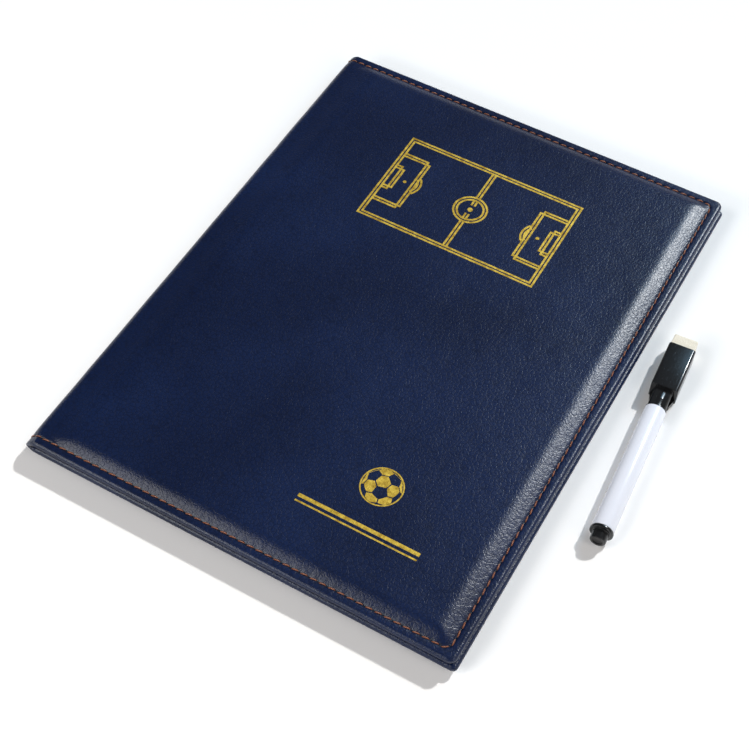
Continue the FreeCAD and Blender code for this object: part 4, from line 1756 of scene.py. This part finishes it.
@dataclass
class DryMarker:
    """The marker beside the board, with local Z along the pen towards the cap."""

    place: Point = (138.45 * MM, 16.6 * MM, 6.0 * MM)
    turn: float = 4.3
    barrel: Point = (5.7 * MM, 77.0 * MM, 4.7 * MM)
    cap_block: Pair = (14.4, 12.0)
    eraser_seat: Pair = (13.0, 9.6)
    eraser: Pair = (12.9, 9.5)
    eraser_corner: float = 0.7
    rough_from: float = 41.0
    worn_from: float = 46.5
    sides: int = 96

    def matrix(self) -> Matrix:
        """Return the place of the pen in the shared frame."""
        yaw = Matrix.Rotation(math.radians(self.turn), 4, "Z")
        return Matrix.Translation(self.place) @ yaw @ Matrix.Rotation(math.radians(-90), 4, "X")

    def turned(self, name: str, profile: Sequence[Pair], finish: Finish) -> bpy.types.Object:
        """Turn a profile of radius and height, in millimetres, around the pen's axis.

        Args:
            name: name of the piece.
            profile: radius and height of each corner.
            finish: finish of the piece.

        Returns:
            The turned piece in the shared frame.
        """
        build = MeshBuilder()
        turn = 2 * math.pi * np.arange(self.sides) / self.sides
        sections = []
        for radius, height in profile:
            r = max(radius, 0.02) * MM
            flat = np.full(self.sides, height * MM)
            sections.append(np.stack([r * np.cos(turn), r * np.sin(turn), flat], axis=1))
        build.loft(sections)
        return self.seat(build, name, finish)

    def seat(self, build: MeshBuilder, name: str, finish: Finish) -> bpy.types.Object:
        """Move collected points into the shared frame and make the piece.

        Args:
            build: the points and faces, along the pen.
            name: name of the piece.
            finish: finish of the piece.

        Returns:
            The new piece.
        """
        place = self.matrix()
        build.points = [tuple(place @ Vector(p)) for p in build.points]
        piece = build.piece(name, finish)
        crisp(piece, 32)
        return piece

    def build_barrel(self) -> bpy.types.Object:
        """Build the white tube with softened rims.

        Returns:
            The barrel piece.
        """
        r, long, bore = (v / MM for v in self.barrel)
        rim = [(0.55, 0.0), (0.24, 0.08), (0.08, 0.24), (0.0, 0.55)]
        profile = [(bore, -long + 0.2), (bore, -long)]
        profile += [(r - inset, -long + along) for inset, along in rim]
        profile += [(r, -long / 2)]
        profile += [(r - inset, -along) for inset, along in reversed(rim)]
        profile += [(bore, 0.0), (bore, -0.2)]
        barrel = self.turned("marker_white_barrel", profile, WHITE_PLASTIC)
        return self.ride(barrel, "marker", "marker_barrel")

    def ride(self, piece: bpy.types.Object, body: str, node: str) -> bpy.types.Object:
        """Let a piece stand for its solid and move with the solid's body.

        Args:
            piece: the piece.
            body: body that carries it.
            node: solid that it stands for.

        Returns:
            The same piece.
        """
        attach(piece, body)
        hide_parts(node)
        return piece

    def build_tail(self) -> bpy.types.Object:
        """Build the tail plug with its flange, waist and dished stub.

        Returns:
            The plug piece.
        """
        steps = [(4.6, 8.0), (4.6, 0.0), (5.6, 0.0), (5.88, -0.12), (6.0, -0.4), (6.0, -1.4)]
        steps += [(5.88, -1.68), (5.6, -1.8), (4.4, -1.8), (4.18, -1.95), (4.1, -2.3)]
        steps += [(4.1, -5.9), (3.98, -6.4), (3.6, -6.68), (3.2, -6.7), (2.75, -6.7)]
        steps += [(2.6, -6.6), (2.5, -6.2), (2.2, -6.1), (0, -6.1)]
        end = -self.barrel[1] / MM
        profile = [(radius, end + along) for radius, along in steps]
        tail = self.turned("marker_tail_stub", profile, BLACK_PLASTIC)
        return self.ride(tail, "marker", "marker_tail_plug")

    def build_nose(self) -> list[bpy.types.Object]:
        """Build the nose and the nib that the cap covers.

        Returns:
            The two pieces.
        """
        profile = [(2.05, -12.0), (4.6, -12.0), (4.6, 0.0), (5.3, 0.0), (5.5, 0.15), (5.5, 0.6)]
        profile += [(4.3, 0.6), (4.3, 5.2), (4.36, 5.5), (4.36, 6.1), (4.3, 6.4), (4.3, 9.4)]
        profile += [(4.2, 9.8), (3.1, 21.4), (2.9, 21.9), (2.6, 22.0), (2.05, 22.0), (2.05, 21.0)]
        nose = self.turned("marker_nose", profile, BLACK_PLASTIC)
        tip = [(2.0, -17.0), (2.0, 23.6), (1.95, 24.2), (1.3, 26.4), (0.9, 27.2)]
        tip += [(0.45, 27.5), (0, 27.52)]
        nib = self.turned("marker_fibre_nib", tip, FIBRE)
        self.ride(nose, "marker", "marker_nib_section")
        self.ride(nib, "marker", "marker_nib")
        return [nose, nib]

    def build_cap(self) -> bpy.types.Object:
        """Build the cap: bore, round sleeve, block and seat for the eraser.

        Returns:
            The cap piece.
        """
        count = 12
        base = rounded_outline(*(v * MM for v in self.cap_block), 1.6 * MM, count)
        spin = np.arctan2(base[:, 1], base[:, 0])

        def circle(radius: float, height: float) -> np.ndarray:
            """Return a round section."""
            r, tall = radius * MM, np.full(len(spin), height * MM)
            return np.stack([r * np.cos(spin), r * np.sin(spin), tall], axis=1)

        def block(size: Pair, radius: float, shrink: float, height: float) -> np.ndarray:
            """Return a rounded rectangular section drawn in by some millimetres."""
            wide, deep = ((v - 2 * shrink) * MM for v in size)
            flat = rounded_outline(wide, deep, radius * MM, count)
            return np.column_stack([flat, np.full(len(flat), height * MM)])

        rounds = [(0.3, 29.9), (3.6, 30.0), (3.7, 29.6), (3.7, 16.5), (4.35, 9.7), (4.35, 1.1)]
        rounds += [(4.6, 0.85), (5.2, 0.8), (5.4, 0.9), (5.5, 1.2), (5.5, 11.7)]
        rounds += [(5.55, 11.9), (5.65, 12.0)]
        blocks = [(0.28, 12.0), (0.12, 12.05), (0.03, 12.16), (0.0, 12.4), (0.0, 25.0)]
        blocks += [(0.0, 40.2), (0.03, 40.45), (0.14, 40.56), (0.3, 40.6)]
        seats = [(-0.06, 40.6), (-0.05, 40.3), (-0.05, 35.6)]
        sections = [circle(*spot) for spot in rounds]
        sections += [block(self.cap_block, 1.6 - 0.3 * spot[0], *spot) for spot in blocks]
        sections += [block(self.eraser_seat, 0.45, *spot) for spot in seats]
        build = MeshBuilder()
        build.loft(sections)
        foot = [(-6.5, 12.4), (-6.5, 11.6), (-5.2, 7.0), (-4.8, 6.7)]
        foot += [(-x, z) for x, z in reversed(foot)]
        layers = []
        for depth, shrink in ((5.95, 0.35), (5.75, 0.1), (5.4, 0.0), (3.6, 0.0), (2.4, 0.0)):
            drawn = [(x - math.copysign(shrink, x), depth, z) for x, z in foot]
            layers.append(np.array(drawn) * MM)
        build.loft(layers)
        cap = self.seat(build, "marker_black_cap", BLACK_PLASTIC)
        return self.ride(cap, "cap", "marker_cap")

    def build_eraser(self) -> bpy.types.Object:
        """Build the felt eraser with its uneven, slightly worn end.

        Returns:
            The eraser piece.
        """
        rng = np.random.default_rng(5)
        steps = [(0.0, 35.65), (0.0, 40.5), (-0.04, 42.2), (0.03, 44.2), (0.0, 46.4)]
        steps += [(0.12, 47.3), (0.4, 47.8), (0.9, 48.0), (2.2, 48.08)]
        sections = []
        for shrink, height in steps:
            wide, deep = ((v - 2 * shrink) * MM for v in self.eraser)
            flat = rounded_outline(wide, deep, self.eraser_corner * MM, 9)
            tall = np.full(len(flat), height * MM)
            if height > self.rough_from:
                flat = flat + rng.normal(0, 0.05 * MM, flat.shape)
            if height > self.worn_from:
                tall = tall + rng.normal(0, 0.07 * MM, len(flat))
            sections.append(np.column_stack([flat, tall]))
        build = MeshBuilder()
        build.loft(sections)
        eraser = self.seat(build, "marker_felt_eraser", FELT)
        return self.ride(eraser, "cap", "marker_cap_eraser")

    def build(self) -> list[bpy.types.Object]:
        """Build and dress the whole marker.

        Returns:
            The new pieces.
        """
        dress_node("marker_ink_reservoir", FIBRE)
        made = [self.build_barrel(), self.build_tail(), *self.build_nose()]
        return [*made, self.build_cap(), self.build_eraser()]


@dataclass(frozen=True)
class PaleFloor(Finish):
    """Plain matt white floor."""

    tone: Colour = (0.95, 0.924, 0.906)

    def shade(self, shader: Shader) -> None:
        """Fill the shader's tree with a plain matt tone."""
        shader.surface({"Base Color": self.tone, "Roughness": 0.9, "Specular IOR Level": 0.0})


def hang(light: bpy.types.Light, place: Point) -> None:
    """Hang a lamp so that it looks at the middle of the board.

    Args:
        light: the light.
        place: where it hangs.
    """
    lamp = bpy.data.objects.new(light.name, light)
    lamp.location = place
    lamp.rotation_euler = Vector(place).to_track_quat("Z", "Y").to_euler()
    bpy.context.scene.collection.objects.link(lamp)


@dataclass(frozen=True)
class SoftBox:
    """A flat lamp that faces the board."""

    name: str
    place: Point
    size: Pair
    power: float
    tone: Colour

    def build(self) -> None:
        """Hang the lamp."""
        light = bpy.data.lights.new(self.name, "AREA")
        light.shape = "RECTANGLE"
        light.size, light.size_y = self.size
        light.energy = self.power
        light.color = self.tone
        hang(light, self.place)


@dataclass
class Studio:
    """Floor, lamps, world and camera."""

    camera_place: Point = (0.2221, -0.4324, 0.6365)
    azimuth: float = 28.69
    elevation: float = 54.325
    roll: float = 1.221
    lens: float = 72.593
    sensor: float = 36.0
    floor_reach: float = 6.0
    floor_level: float = -0.2 * MM
    sun_from: Point = (0.40, 1.0, 1.0)
    sun_power: float = 2.3
    sun_angle: float = 2.5
    sun_tone: Colour = (1.0, 0.985, 0.96)
    boxes: tuple[SoftBox, ...] = (
        SoftBox("ceiling_box", (-0.80, -0.95, 1.36), (0.7, 0.6), 8.8, (1.0, 0.98, 0.96)),
        SoftBox("window_box", (0.35, 0.85, 0.75), (0.5, 0.5), 4.6, (0.40, 0.72, 1.0)),
        SoftBox("front_box", (-0.75, -1.50, 0.90), (1.0, 0.3), 13.0, (0.90, 0.95, 1.0)),
        SoftBox("side_box", (1.30, -0.26, 1.00), (0.8, 0.8), 5.2, (1.0, 0.96, 0.92)),
    )
    sky: Colour = (0.060, 0.062, 0.066)
    horizon: Colour = (0.50, 0.495, 0.49)

    def build_floor(self) -> None:
        """Lay the floor under the board."""
        corners = ((-1, -1), (1, -1), (1, 1), (-1, 1))
        reach = self.floor_reach
        points = [(x * reach, y * reach, self.floor_level) for x, y in corners]
        floor = mesh_piece("floor", points, [(0, 1, 2, 3)], PaleFloor("pale_floor"))

    def build_lamps(self) -> None:
        """Set a hard key light from behind the top edge, and soft boxes around the board."""
        key = bpy.data.lights.new("key_sun", "SUN")
        key.energy = self.sun_power
        key.angle = math.radians(self.sun_angle)
        key.color = self.sun_tone
        hang(key, self.sun_from)
        for box in self.boxes:
            box.build()

    def build_world(self) -> None:
        """Surround the scene with a dim ceiling over a pale horizon."""
        world = bpy.data.worlds.new("studio")
        world.use_nodes = True
        shader = Shader("studio", world)
        height = shader.axes(shader.node("ShaderNodeTexCoord", out="Generated"))[2]
        tone = shader.tint(height.step(0.02, 0.42), self.horizon, self.sky)
        glow = shader.node("ShaderNodeBackground", feeds={"Color": tone})
        shader.close(glow, "ShaderNodeOutputWorld")
        bpy.context.scene.world = world

    def build_camera(self) -> None:
        """Set the camera at the photograph's viewing angle."""
        lens = bpy.data.cameras.new("camera")
        lens.lens = self.lens
        lens.sensor_width = self.sensor
        lens.clip_start, lens.clip_end = 0.01, 50.0
        camera = bpy.data.objects.new("camera", lens)
        turn, rise = math.radians(self.azimuth), math.radians(self.elevation)
        flat = math.cos(rise)
        back = Vector((math.sin(turn) * flat, -math.cos(turn) * flat, math.sin(rise)))
        level = back.to_track_quat("Z", "Y")
        camera.rotation_euler = (level @ Quaternion((0, 0, 1), math.radians(self.roll))).to_euler()
        camera.location = self.camera_place
        bpy.context.scene.collection.objects.link(camera)
        bpy.context.scene.camera = camera
        bpy.context.scene.view_settings.view_transform = "Standard"

    def build(self) -> None:
        """Build the whole studio."""
        self.build_floor()
        self.build_lamps()
        self.build_world()
        self.build_camera()


def main() -> None:
    """Build every sub-assembly in order and report its pieces."""
    logging.basicConfig(level=logging.INFO, format="%(name)s: %(message)s")
    front = PaddedCover("front", "front_cover", 234.0 * MM, 4.0 * MM, Face.UP, 11)
    back = PaddedCover("back", "back_cover", 235.2 * MM, 2.4 * MM, Face.DOWN, 23)
    assemblies = [front, back, SoftSpine(front, back), FoilPrint(front), DryMarker()]
    for assembly in assemblies:
        for piece in assembly.build():
            log.info("%s: %d faces", piece.name, len(piece.data.polygons))
    Studio().build()


if __name__ == "__main__":
    main()
